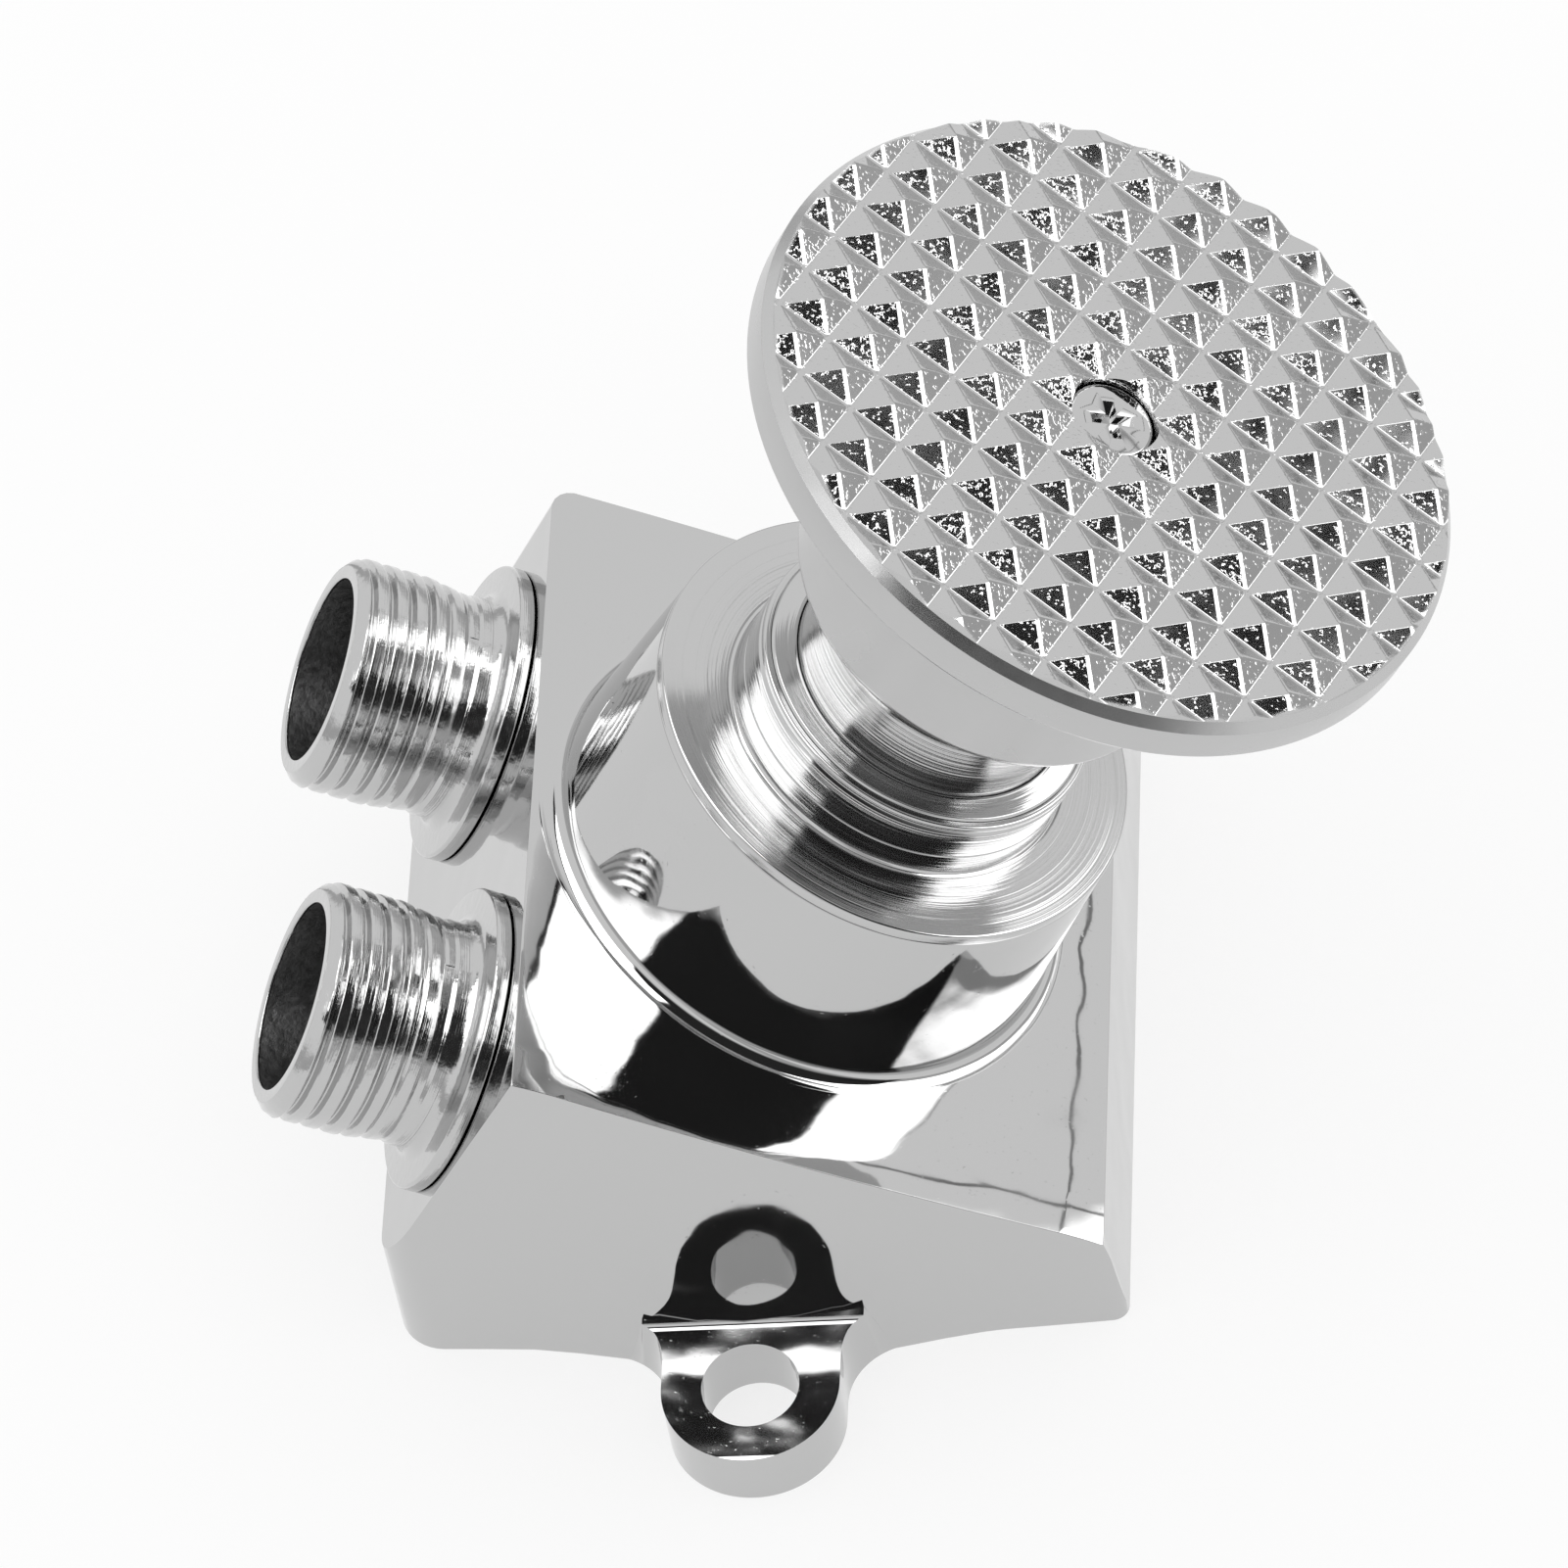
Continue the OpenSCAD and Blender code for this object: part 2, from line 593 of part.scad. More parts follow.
module valve_seat() {
    lip = 0.6;
    color(bright_brass) on_axis() rotate_extrude() polygon([
        [seat_hole_r, seat_low], [seat_r, seat_low], [seat_r, -seat_depth],
        [seat_hole_r + lip, -seat_depth], [seat_hole_r, -seat_depth - lip]]);
}

module poppet() {
    edge = 0.6;
    color(bright_brass) on_axis() rotate_extrude() polygon([
        [stem_tail_r + fixed_fit, nut_top], [poppet_r - edge, nut_top], [poppet_r, nut_top + edge],
        [poppet_r, poppet_top], [stem_tail_r + fixed_fit, poppet_top]]);
}

module poppet_seal() {
    color(rubber) on_axis() ring(poppet_r - 0.2, stem_tail_r + fixed_fit, poppet_top, poppet_seal_top);
}

module poppet_nut() {
    color(bright_brass) on_axis() translate([0, 0, nut_top - nut_t]) difference() {
        cylinder(r = nut_flats / 2 / cos(30), h = nut_t, $fn = 6);
        translate([0, 0, -1]) cylinder(r = stem_tail_r + fixed_fit, h = nut_t + 2);
    }
}

valve_body();
inlet_nipple();
outlet_nipple();
inlet_gasket();
outlet_gasket();
inlet_strainer();
bonnet();
bonnet_gasket();
guide_bush();
wiper_seal();
gland_ring();
pedal_plate();
pedal_screw();
screw_washer();
stem();
stem_seal();
stem_clip();
return_spring();
spring_seat();
thrust_washer();
valve_seat();
poppet();
poppet_seal();
poppet_nut();
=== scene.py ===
# %% [markdown]
# # A foot pedal tap valve
# A chrome floor valve: a wedge body with two threaded ports, and a round treaded pedal that a foot
# presses down along a leaning axis. The exact model gives every piece its place and its joint. This
# lesson dresses it: pieces whose edges and marks matter under polish are modelled again by hand, and
# the others keep their solids and get a finish.

# %% Load the exact model
import json
import math

import bpy
from mathutils import Matrix, Vector


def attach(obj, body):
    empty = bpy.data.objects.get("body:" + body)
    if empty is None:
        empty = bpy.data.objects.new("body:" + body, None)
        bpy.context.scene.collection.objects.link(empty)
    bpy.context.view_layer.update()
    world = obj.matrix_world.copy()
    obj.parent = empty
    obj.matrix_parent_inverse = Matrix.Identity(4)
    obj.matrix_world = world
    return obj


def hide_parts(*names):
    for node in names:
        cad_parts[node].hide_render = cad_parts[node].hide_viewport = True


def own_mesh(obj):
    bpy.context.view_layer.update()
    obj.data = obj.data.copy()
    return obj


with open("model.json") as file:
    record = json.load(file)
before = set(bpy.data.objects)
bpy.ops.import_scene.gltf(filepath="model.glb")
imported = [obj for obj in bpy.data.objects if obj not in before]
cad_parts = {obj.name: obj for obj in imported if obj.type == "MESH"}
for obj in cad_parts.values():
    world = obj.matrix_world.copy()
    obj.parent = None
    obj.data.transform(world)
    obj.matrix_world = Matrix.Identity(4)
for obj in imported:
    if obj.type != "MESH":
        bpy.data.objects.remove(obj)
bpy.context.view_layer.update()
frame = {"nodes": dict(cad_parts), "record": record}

# %% [markdown]
# Everything on the pedal axis is easiest to draw upright, as on a lathe, and to lean over at the end.
# The leaning frame has its zero where the axis leaves the body's sloping top face. Sizes are in
# millimetres, as on a drawing, and MM turns them into Blender's metres.

# %% Sizes of the body and the leaning frame
MM = 0.001
LEAN = math.radians(30)
BASE_W = 64
BASE_D = 64
PLINTH_H = 11.5
WALL_DRAFT = 1
AXIS_FROM_CREST = 25.4

half_w = BASE_W / 2
port_face_len = (BASE_W - WALL_DRAFT) * math.sin(LEAN)
crest_x = -half_w + port_face_len * math.sin(LEAN)
crest = Vector((crest_x, 0, PLINTH_H + port_face_len * math.cos(LEAN)))
downhill = Vector((math.cos(LEAN), 0, -math.sin(LEAN)))
across_face = Vector((0, 1, 0))
pedal_way = Vector((math.sin(LEAN), 0, math.cos(LEAN)))
axis_foot = crest + AXIS_FROM_CREST * downhill
UPRIGHT = Matrix.Identity(4)
LEANING = Matrix.Translation(axis_foot * MM) @ Matrix.Rotation(LEAN, 4, "Y")
print("the axis leaves the top face at", [round(c, 2) for c in axis_foot], "mm")

# %% [markdown]
# ## Camera
# The photo was taken with a long lens from above and in front. The place, the aim and the lens come
# from matching edges of the valve, with the thread's known diameter as the scale.

# %% Camera
EYE = (108.48, -528.59, 698.34)
SIGHT_RIGHT = Vector((0.99151, 0.03804, -0.12434))
SIGHT_UP = Vector((0.0475, 0.7842, 0.61869))
SIGHT_BACK = Vector((0.12104, -0.61934, 0.77574))
FOCAL_LENGTH = 227.95
SENSOR_W = 36

lens = bpy.data.cameras.new("camera")
lens.lens = FOCAL_LENGTH
lens.sensor_width = SENSOR_W
lens.clip_start = 0.05
lens.clip_end = 20
camera = bpy.data.objects.new("camera", lens)
bpy.context.scene.collection.objects.link(camera)
sight = Matrix((SIGHT_RIGHT, SIGHT_UP, SIGHT_BACK)).transposed().to_4x4()
camera.matrix_world = Matrix.Translation(Vector(EYE) * MM) @ sight
bpy.context.scene.camera = camera
bpy.context.scene.view_settings.view_transform = "Standard"
print("camera", round(camera.location.length, 3), "m from the base")

# %% [markdown]
# ## Tools for shaders
# A finish is easier to read as sums than as boxes and wires. `Wire` stands for one socket and lets
# Python's own signs add Math nodes. `ease` is the smooth step from one level to another.

# %% Wire
class Wire:
    def __init__(self, finish, socket):
        self.finish = finish
        self.socket = socket

    def math(self, operation, other, swap=False):
        pair = (other, self) if swap else (self, other)
        return self.finish.node("ShaderNodeMath", {"operation": operation}, {0: pair[0], 1: pair[1]})

    def __add__(self, other):
        return self.math("ADD", other)

    def __radd__(self, other):
        return self.math("ADD", other, True)

    def __sub__(self, other):
        return self.math("SUBTRACT", other)

    def __rsub__(self, other):
        return self.math("SUBTRACT", other, True)

    def __mul__(self, other):
        return self.math("MULTIPLY", other)

    def __rmul__(self, other):
        return self.math("MULTIPLY", other, True)

    def root(self):
        return self.math("SQRT", 0.0)

    def size(self):
        return self.math("ABSOLUTE", 0.0)

    def angle_over(self, other):
        return self.math("ARCTAN2", other)

    def arc(self):
        return self.math("ARCCOSINE", 0.0)

    def least(self, other):
        return self.math("MINIMUM", other)

    def most(self, other):
        return self.math("MAXIMUM", other)

    def ease(self, low, high, start=0.0, end=1.0):
        ends = {"From Min": low, "From Max": high, "To Min": start, "To Max": end}
        return self.finish.node("ShaderNodeMapRange", {"interpolation_type": "SMOOTHSTEP"},
                                {"Value": self, **ends})


print("wires ready")

# %% [markdown]
# `Finish` holds one node tree and makes every other node: where a point is, clouds and rings of noise
# for waves and tool marks, and the bump that turns their height into relief.

# %% Finish
class Finish:
    def __init__(self, tree):
        self.tree = tree
        tree.nodes.clear()

    def node(self, kind, settings=None, inputs=None, output=0):
        made = self.tree.nodes.new(kind)
        for key, value in (settings or {}).items():
            setattr(made, key, value)
        for key, value in (inputs or {}).items():
            if isinstance(value, Wire):
                self.tree.links.new(value.socket, made.inputs[key])
            else:
                made.inputs[key].default_value = value
        return Wire(self, made.outputs[output]) if made.outputs else made

    def place(self, location=(0, 0, 0), turn=(0, 0, 0)):
        here = self.node("ShaderNodeTexCoord", output="Object")
        return self.node("ShaderNodeMapping", {}, {"Vector": here, "Location": location, "Rotation": turn})

    def parts(self, vector):
        split = self.node("ShaderNodeSeparateXYZ", {}, {"Vector": vector})
        outputs = split.socket.node.outputs
        return [Wire(self, outputs[axis]) for axis in ("X", "Y", "Z")]

    def noise(self, vector, scale, detail=2.0, roughness=0.5):
        return self.node("ShaderNodeTexNoise", {}, {"Vector": vector, "Scale": scale, "Detail": detail,
                                                    "Roughness": roughness})

    def rings(self, along, scale, detail):
        return self.node("ShaderNodeTexNoise", {"noise_dimensions": "1D"},
                         {"W": along, "Scale": scale, "Detail": detail})

    def grey(self, level):
        return self.node("ShaderNodeCombineColor", {}, {"Red": level, "Green": level, "Blue": level})

    def bump(self, height, depth, under=None):
        inputs = {"Height": height, "Distance": depth, "Strength": 1.0}
        if under is not None:
            inputs["Normal"] = under
        return self.node("ShaderNodeBump", {}, inputs)


def new_finish(name):
    material = bpy.data.materials.new(name)
    material.use_nodes = True
    return material, Finish(material.node_tree)


def close_finish(finish, **sockets):
    inputs = {key.replace("_", " "): value for key, value in sockets.items()}
    surface = finish.node("ShaderNodeBsdfPrincipled", {}, inputs)
    finish.node("ShaderNodeOutputMaterial", {}, {"Surface": surface})


print("shader tools ready")

# %% [markdown]
# ## Finishes
# All the outside is chrome plate, but it wasn't all polished the same. The cast body was buffed before
# plating, so it mirrors. A perfect mirror would look drawn: the buffing wheel leaves long faint waves,
# the plate a fine peel, and dust under it a few specks, so those are three heights in one bump.

# %% Polished chrome
CHROME = (0.53, 0.53, 0.53, 1)
WAVE_DEPTH = 0.00018
PEEL_DEPTH = 0.000003


def plate(finish, rough, relief):
    close_finish(finish, Base_Color=CHROME, Metallic=1.0, Roughness=rough, Normal=relief)


def polished_chrome():
    material, finish = new_finish("polished_chrome")
    here = finish.place()
    waves = finish.noise(here, 55.0, 1.0) + finish.noise(here, 150.0, 1.0) * 0.5
    peel = finish.noise(here, 420.0, 2.0)
    specks = finish.noise(here, 2600.0, 1.0).ease(0.70, 0.80)
    buffed = finish.bump(waves, WAVE_DEPTH)
    relief = finish.bump(peel + specks * 0.6, PEEL_DEPTH, under=buffed)
    rough = finish.noise(here, 90.0).ease(0.3, 0.7, 0.03, 0.06)
    plate(finish, rough, relief)
    return material


chrome = polished_chrome()
print("finish:", chrome.name)

# %% [markdown]
# The bonnet and the pedal's shank were only turned, and the plate follows the rings of the tool. The
# hub and the rim were finished finer and look satin. Rings this fine would take too many faces, so
# they are a bump in the leaning frame: noise along one line only, the radius plus the height, so that
# every mark runs round the axis.

# %% Turned chrome
RING_DEPTH = 0.000034
SATIN_DEPTH = 0.00002
HUB_START = 0.0395
SHANK_END = 0.0375
lathe_turn = (0, -LEAN, 0)
lathe_shift = tuple(-(Matrix.Rotation(-LEAN, 3, "Y") @ axis_foot) * MM)


def from_axis(across, depth):
    return (across * across + depth * depth).root()


def turned_chrome():
    material, finish = new_finish("turned_chrome")
    here = finish.place(lathe_shift, lathe_turn)
    across, depth, up = finish.parts(here)
    along = from_axis(across, depth) + up
    coarse = finish.rings(along, 900.0, 2.0)
    fine = finish.rings(along, 4200.0, 3.0)
    relief = finish.bump(coarse + fine * 0.55, RING_DEPTH)
    rough = finish.noise(here, 160.0).ease(0.3, 0.7, 0.07, 0.13)
    plate(finish, rough, relief)
    return material


def pedal_chrome():
    material, finish = new_finish("pedal_chrome")
    here = finish.place(lathe_shift, lathe_turn)
    across, depth, up = finish.parts(here)
    along = from_axis(across, depth) + up
    on_shank = up.ease(HUB_START, SHANK_END)
    marks = finish.rings(along, 3000.0, 3.0) * (0.12 + on_shank * 0.9)
    grain = finish.noise(here, 900.0)
    relief = finish.bump(marks + grain * 0.1, SATIN_DEPTH)
    rough = finish.noise(here, 120.0).ease(0.2, 0.8, 0.26, 0.32) - on_shank * 0.16
    plate(finish, rough, relief)
    return material


turned_plate = turned_chrome()
pedal_finish = pedal_chrome()
print("finishes:", turned_plate.name, pedal_finish.name)

# %% [markdown]
# The tread looks cast, and its grains sparkle. It looks worn round the screw, towards the back and in
# patches, so there the grains stand closer. Grains could be scattered as tiny pieces, but there
# are thousands of them, so a noise with only its peaks kept does it. The chamfer of the rim was turned
# and has none.

# %% Tread chrome
GRAIN_DEPTH = 0.000013
WORN_NEAR = 0.005
WORN_FAR = 0.012
BACK_FROM = -0.012
BACK_TO = 0.030
RIM_START = 0.0299
RIM_FULL = 0.0303


def tread_chrome():
    material, finish = new_finish("tread_chrome")
    here = finish.place(lathe_shift, lathe_turn)
    across, depth = finish.parts(here)[:2]
    radius = from_axis(across, depth)
    near_screw = radius.ease(WORN_FAR, WORN_NEAR)
    at_back = (depth - across * 0.3).ease(BACK_FROM, BACK_TO)
    patches = finish.noise(here, 110.0, 1.0).ease(0.42, 0.64)
    worn = (near_screw * 0.8 + at_back * 0.25 + patches * 0.45).least(1.0)
    inside_rim = radius.ease(RIM_FULL, RIM_START)
    grains = (finish.noise(here, 2600.0, 1.5) + worn * 0.15).ease(0.61, 0.77)
    relief = finish.bump(grains * inside_rim, GRAIN_DEPTH)
    rough = finish.noise(here, 300.0).ease(0.3, 0.7, 0.06, 0.10) + (1.0 - inside_rim) * 0.14
    plate(finish, rough, relief)
    return material


tread_plate = tread_chrome()
print("finish:", tread_plate.name)

# %% [markdown]
# The ports were cut with a thread die, which scratches along the turns, and plated without buffing.
# Their bores took hardly any plate and are dull and dark. The thread itself is modelled further down,
# so the finish only adds scratches, as noise along the port's own axis, and a grain.

# %% Threads and bores
SCRATCH_DEPTH = 0.00003
BORE_GREY = (0.2, 0.2, 0.2, 1)
BORE_DEPTH = 0.00006


def thread_chrome():
    material, finish = new_finish("thread_chrome")
    here = finish.place((0, 0, 0), lathe_turn)
    along_port = finish.parts(here)[0]
    scratches = finish.rings(along_port, 6000.0, 3.0)
    grain = finish.noise(here, 1300.0, 2.0)
    relief = finish.bump(scratches * 0.6 + grain, SCRATCH_DEPTH)
    plate(finish, grain.ease(0.3, 0.7, 0.08, 0.16), relief)
    return material


def bore_chrome():
    material, finish = new_finish("bore_metal")
    grain = finish.noise(finish.place(), 1500.0, 3.0, 0.6)
    rough = grain.ease(0.2, 0.8, 0.35, 0.5)
    relief = finish.bump(grain, BORE_DEPTH)
    close_finish(finish, Base_Color=BORE_GREY, Metallic=1.0, Roughness=rough, Normal=relief)
    return material


thread_plate = thread_chrome()
bore_metal = bore_chrome()
print("finishes:", thread_plate.name, bore_metal.name)

# %% [markdown]
# The inner pieces are hidden until the valve is taken apart, but each still gets what it is made of:
# turned brass, drawn steel, black rubber, red fibre and white acetal. One recipe serves all five, a
# grain that shades the colour, the roughness and the relief together.

# %% Inner finishes
SHADE_DARK = 0.86
SHADE_LIGHT = 1.08
ROUGH_SPREAD = 0.05


def plain_finish(name, colour, metallic, rough, grain_scale, grain_depth):
    material, finish = new_finish(name)
    grain = finish.noise(finish.place(), grain_scale, 3.0)
    shade = grain.ease(0.25, 0.75, SHADE_DARK, SHADE_LIGHT)
    tint = finish.node("ShaderNodeMix", {"data_type": "RGBA", "blend_type": "MULTIPLY"},
                       {"Factor": 1.0, 6: colour, 7: finish.grey(shade)}, output=2)
    uneven = grain.ease(0.2, 0.8, rough - ROUGH_SPREAD, rough + ROUGH_SPREAD)
    relief = finish.bump(grain, grain_depth)
    close_finish(finish, Base_Color=tint, Metallic=metallic, Roughness=uneven, Normal=relief)
    return material


slot_finish = {
    "brass": plain_finish("turned_brass", (0.72, 0.52, 0.22, 1), 1.0, 0.25, 900.0, 0.00001),
    "steel": plain_finish("drawn_steel", (0.50, 0.51, 0.52, 1), 1.0, 0.22, 1200.0, 0.00001),
    "rubber": plain_finish("black_rubber", (0.018, 0.018, 0.019, 1), 0.0, 0.6, 700.0, 0.00003),
    "fibre": plain_finish("red_fibre", (0.28, 0.04, 0.025, 1), 0.0, 0.75, 500.0, 0.00004),
    "acetal": plain_finish("white_acetal", (0.78, 0.78, 0.74, 1), 0.0, 0.4, 400.0, 0.00001),
    "polished_chrome": chrome,
    "turned_chrome": turned_plate,
    "cast_chrome": pedal_finish}
for part in frame["record"]["subparts"]:
    node = frame["nodes"][part["node"]]
    node.data.materials.clear()
    node.data.materials.append(slot_finish[part["material_slot"]])
print("finishes on", len(frame["nodes"]), "solids")

# %% [markdown]
# ## Tools for modelling
# An operator acts on whatever is selected, so every tool first deselects all and picks its own piece.
# `settle` puts a finished piece in its place with its object left at the origin, and `mend` closes
# seams and turns the faces outwards, or inwards for a bore.

# %% Picking, settling and mending
def deselect():
    if bpy.context.mode != "OBJECT":
        bpy.ops.object.mode_set(mode="OBJECT")
    bpy.ops.object.select_all(action="DESELECT")


def pick(piece):
    deselect()
    piece.select_set(True)
    bpy.context.view_layer.objects.active = piece


def begin(name, add, **settings):
    deselect()
    add(**settings)
    piece = bpy.context.active_object
    piece.name = name
    piece.data.name = name
    return piece


def apply_place():
    bpy.ops.object.transform_apply(location=True, rotation=True, scale=True)


def settle(piece, place, material, smooth=None):
    pick(piece)
    piece.matrix_world = place @ piece.matrix_world
    apply_place()
    if smooth is None:
        bpy.ops.object.shade_smooth()
    else:
        bpy.ops.object.shade_smooth_by_angle(angle=math.radians(smooth))
    piece.data.materials.clear()
    piece.data.materials.append(material)


def apply_modifiers(piece):
    pick(piece)
    for modifier in list(piece.modifiers):
        bpy.ops.object.modifier_apply(modifier=modifier.name)


def mend(piece, merge=0.0, inside=False):
    pick(piece)
    bpy.ops.object.mode_set(mode="EDIT")
    bpy.ops.mesh.select_mode(type="VERT")
    bpy.ops.mesh.select_all(action="SELECT")
    if merge:
        bpy.ops.mesh.remove_doubles(threshold=merge)
    bpy.ops.mesh.normals_make_consistent(inside=inside)
    bpy.ops.object.mode_set(mode="OBJECT")


def measure(piece):
    print(piece.name, "has", len(piece.data.polygons), "faces")


print("picking tools ready")

# %% [markdown]
# A turned piece is drawn as half an outline and spun, as a lathe would make it. `rounded` takes corner
# points, each with a radius, and puts an arc on it, because plated edges are never sharp. `draw_line`
# extrudes one point from corner to corner.

# %% Drawing and spinning
SPIN_MERGE = 0.000001
BIG_STEPS = 192


def rounded(corners, steps):
    outline = []
    for i, (x, y, r) in enumerate(corners):
        here = Vector((x, y))
        if r == 0 or i in (0, len(corners) - 1):
            outline.append((x, y))
            continue
        back = (Vector(corners[i - 1][:2]) - here).normalized()
        on = (Vector(corners[i + 1][:2]) - here).normalized()
        half = back.angle(on) / 2
        centre = here + (back + on).normalized() * (r / math.sin(half))
        start = here + back * (r / math.tan(half)) - centre
        sweep = math.pi - 2 * half
        if back.x * on.y - back.y * on.x > 0:
            sweep = -sweep
        for k in range(steps + 1):
            cosine = math.cos(sweep * k / steps)
            sine = math.sin(sweep * k / steps)
            arm = Vector((start.x * cosine - start.y * sine, start.x * sine + start.y * cosine))
            outline.append(tuple(centre + arm))
    return outline


def draw_line(name, points):
    piece = begin(name, bpy.ops.mesh.primitive_plane_add, size=MM)
    bpy.ops.object.mode_set(mode="EDIT")
    bpy.ops.mesh.select_mode(type="VERT")
    bpy.ops.mesh.select_all(action="SELECT")
    bpy.ops.mesh.merge(type="CENTER")
    bpy.ops.transform.translate(value=(points[0][0] * MM, 0, points[0][1] * MM))
    for before, after in zip(points, points[1:]):
        step = ((after[0] - before[0]) * MM, 0, (after[1] - before[1]) * MM)
        bpy.ops.mesh.extrude_region_move(TRANSFORM_OT_translate={"value": step})
    return piece


def turned(name, outline, steps):
    piece = draw_line(name, outline)
    bpy.ops.mesh.select_all(action="SELECT")
    bpy.ops.mesh.spin(steps=steps, angle=2 * math.pi, center=(0, 0, 0), axis=(0, 0, 1))
    mend(piece, SPIN_MERGE)
    return piece


print("lathe ready")

# %% [markdown]
# Holes are cut with an exact Boolean and the tool is thrown away. Pieces of one casting are joined.
# Soft edges are a Bevel. After it the normals are weighted by face size, so that the mirror stays calm
# on the big faces and only the narrow bevels turn.

# %% Cutting, joining and softening
LEVEL_WEIGHT = 80


def cut(piece, tool, operation="DIFFERENCE"):
    knife = piece.modifiers.new("cut", "BOOLEAN")
    knife.operation = operation
    knife.solver = "EXACT"
    knife.object = tool
    apply_modifiers(piece)
    bpy.data.objects.remove(tool)


def join(pieces):
    deselect()
    for piece in pieces:
        piece.select_set(True)
    bpy.context.view_layer.objects.active = pieces[0]
    bpy.ops.object.join()


def bevel(piece, width, segments, angle):
    soften = piece.modifiers.new("soften", "BEVEL")
    soften.width = width * MM
    soften.segments = segments
    soften.limit_method = "ANGLE"
    soften.angle_limit = math.radians(angle)


def level_normals(piece, sharp=180):
    level = piece.modifiers.new("level", "WEIGHTED_NORMAL")
    level.weight = LEVEL_WEIGHT
    level.keep_sharp = True
    pick(piece)
    bpy.ops.object.shade_smooth_by_angle(angle=math.radians(sharp))
    apply_modifiers(piece)


print("cutting tools ready")

# %% [markdown]
# ## The cast body
# The body is a wedge on a low plinth. The mesh of the exact solid has no points inside its faces that
# could be moved for swollen faces and rolled edges. A patternmaker would start from a block and saw
# it, so this does too. The block first gets its upright corners: round at the heel under the ports,
# nearly sharp at the toe.

# %% Block
HEEL_CORNER = 4
TOE_CORNER = 1.4
CORNER_STEPS = 10
SPARE = 2
TALL = 10
CLOSE = 0.01

body = begin("valve_body_skin", bpy.ops.mesh.primitive_cube_add, size=1)
body.scale = (BASE_W * MM, BASE_D * MM, (crest.z + SPARE) * MM)
body.location = (0, 0, (crest.z + SPARE) * MM / 2)
apply_place()


def pick_edges(piece, wanted):
    bpy.ops.object.mode_set(mode="EDIT")
    bpy.ops.mesh.select_mode(type="EDGE")
    bpy.ops.mesh.select_all(action="DESELECT")
    bpy.ops.object.mode_set(mode="OBJECT")
    for edge in piece.data.edges:
        ends = [piece.data.vertices[v].co / MM for v in edge.vertices]
        edge.select = wanted(*ends)
    bpy.ops.object.mode_set(mode="EDIT")


def upright_at(x):
    return lambda a, b: abs(a.z - b.z) > TALL and abs(a.x - x) < CLOSE and abs(b.x - x) < CLOSE


for side, corner in ((-half_w, HEEL_CORNER), (half_w, TOE_CORNER)):
    pick_edges(body, upright_at(side))
    bpy.ops.mesh.bevel(offset=corner * MM, segments=CORNER_STEPS, affect="EDGES")
print("block", BASE_W, "x", BASE_D, "mm with round corners")

# %% [markdown]
# Bisect is the saw. Three slanting cuts make the top face, the port face and the low wall, and four
# small ones round the far end of the crest. Further cuts that drop nothing only draw lines: strips
# across the faces, and steps along the edges of the top face, for the shaping that follows.

# %% Saw cuts
BACK_ROUND = 2.4
BACK_TURNS = (18, 36, 54, 72)
FACE_STRIPS = 16
ROLL_W = 4.5
ROLL_STEPS = 6


def saw(point, outward, drop=True):
    bpy.ops.mesh.select_all(action="SELECT")
    bpy.ops.mesh.bisect(plane_co=point * MM, plane_no=outward, use_fill=drop, clear_outer=drop)


low_edge = Vector((half_w, 0, 0))
low_wall_out = Vector((PLINTH_H, 0, WALL_DRAFT)).normalized()
low_crest = Vector((half_w - WALL_DRAFT, 0, PLINTH_H))
saw(axis_foot, pedal_way)
saw(crest, -downhill)
saw(low_edge, low_wall_out)
back_line = crest + BASE_D / 2 * across_face
for turn in BACK_TURNS:
    slant = -math.cos(math.radians(turn)) * downhill + math.sin(math.radians(turn)) * across_face
    saw(back_line + BACK_ROUND * (slant + downhill - across_face), slant)
for strip in range(1, FACE_STRIPS):
    saw(Vector((-half_w + strip * BASE_W / FACE_STRIPS, 0, 0)), Vector((1, 0, 0)), drop=False)
for step in range(1, ROLL_STEPS + 1):
    inward = ROLL_W * step / ROLL_STEPS
    for side in (-1, 1):
        saw(side * (BASE_D / 2 - inward) * across_face, across_face, drop=False)
    saw(low_crest - inward * downhill, downhill, drop=False)
    saw(crest + inward * downhill, downhill, drop=False)
bpy.ops.object.mode_set(mode="OBJECT")
measure(body)

# %% [markdown]
# Buffing leaves few true flats. The middle of the top face stays flat, but the front and back faces
# are crowned and swell towards the roots of the ears, which shows in the short mirror image of the
# ear. The wheel has rolled the edges of the top face over, most at the low front corner, so each point
# near an edge sinks by the arc of a big circle. A wide bevel would roll every edge alike.

# %% Swell and roll
EDGE_ROUND = 0.4
EDGE_STEPS = 4
EDGE_ANGLE = 26
FACE_CROWN = 1
ROOT_SWELL = 2.4
ROOT_SPREAD = 22
ROLL_R = 30
SIDE_ROLL_R = 20
SIDE_ROLL_MORE = 25
LOW_FROM = -5
LOW_TO = 31
FRONT_FROM = 12
FRONT_TO = -32
SIDE_SHARE = (0.45, 0.8)
LOW_SHARE = (0.25, 1.0)
CREST_SHARE = (0.1, 0.9)
BODY_MERGE = 0.00001
ON_PLANE = 0.001


def part_way(value, start, end):
    return min(1, max(0, (value - start) / (end - start)))


def sink(share, part, inset, radius):
    width = ROLL_W * (share[0] + (share[1] - share[0]) * part)
    return max(width - inset, 0) ** 2 / (2 * radius)


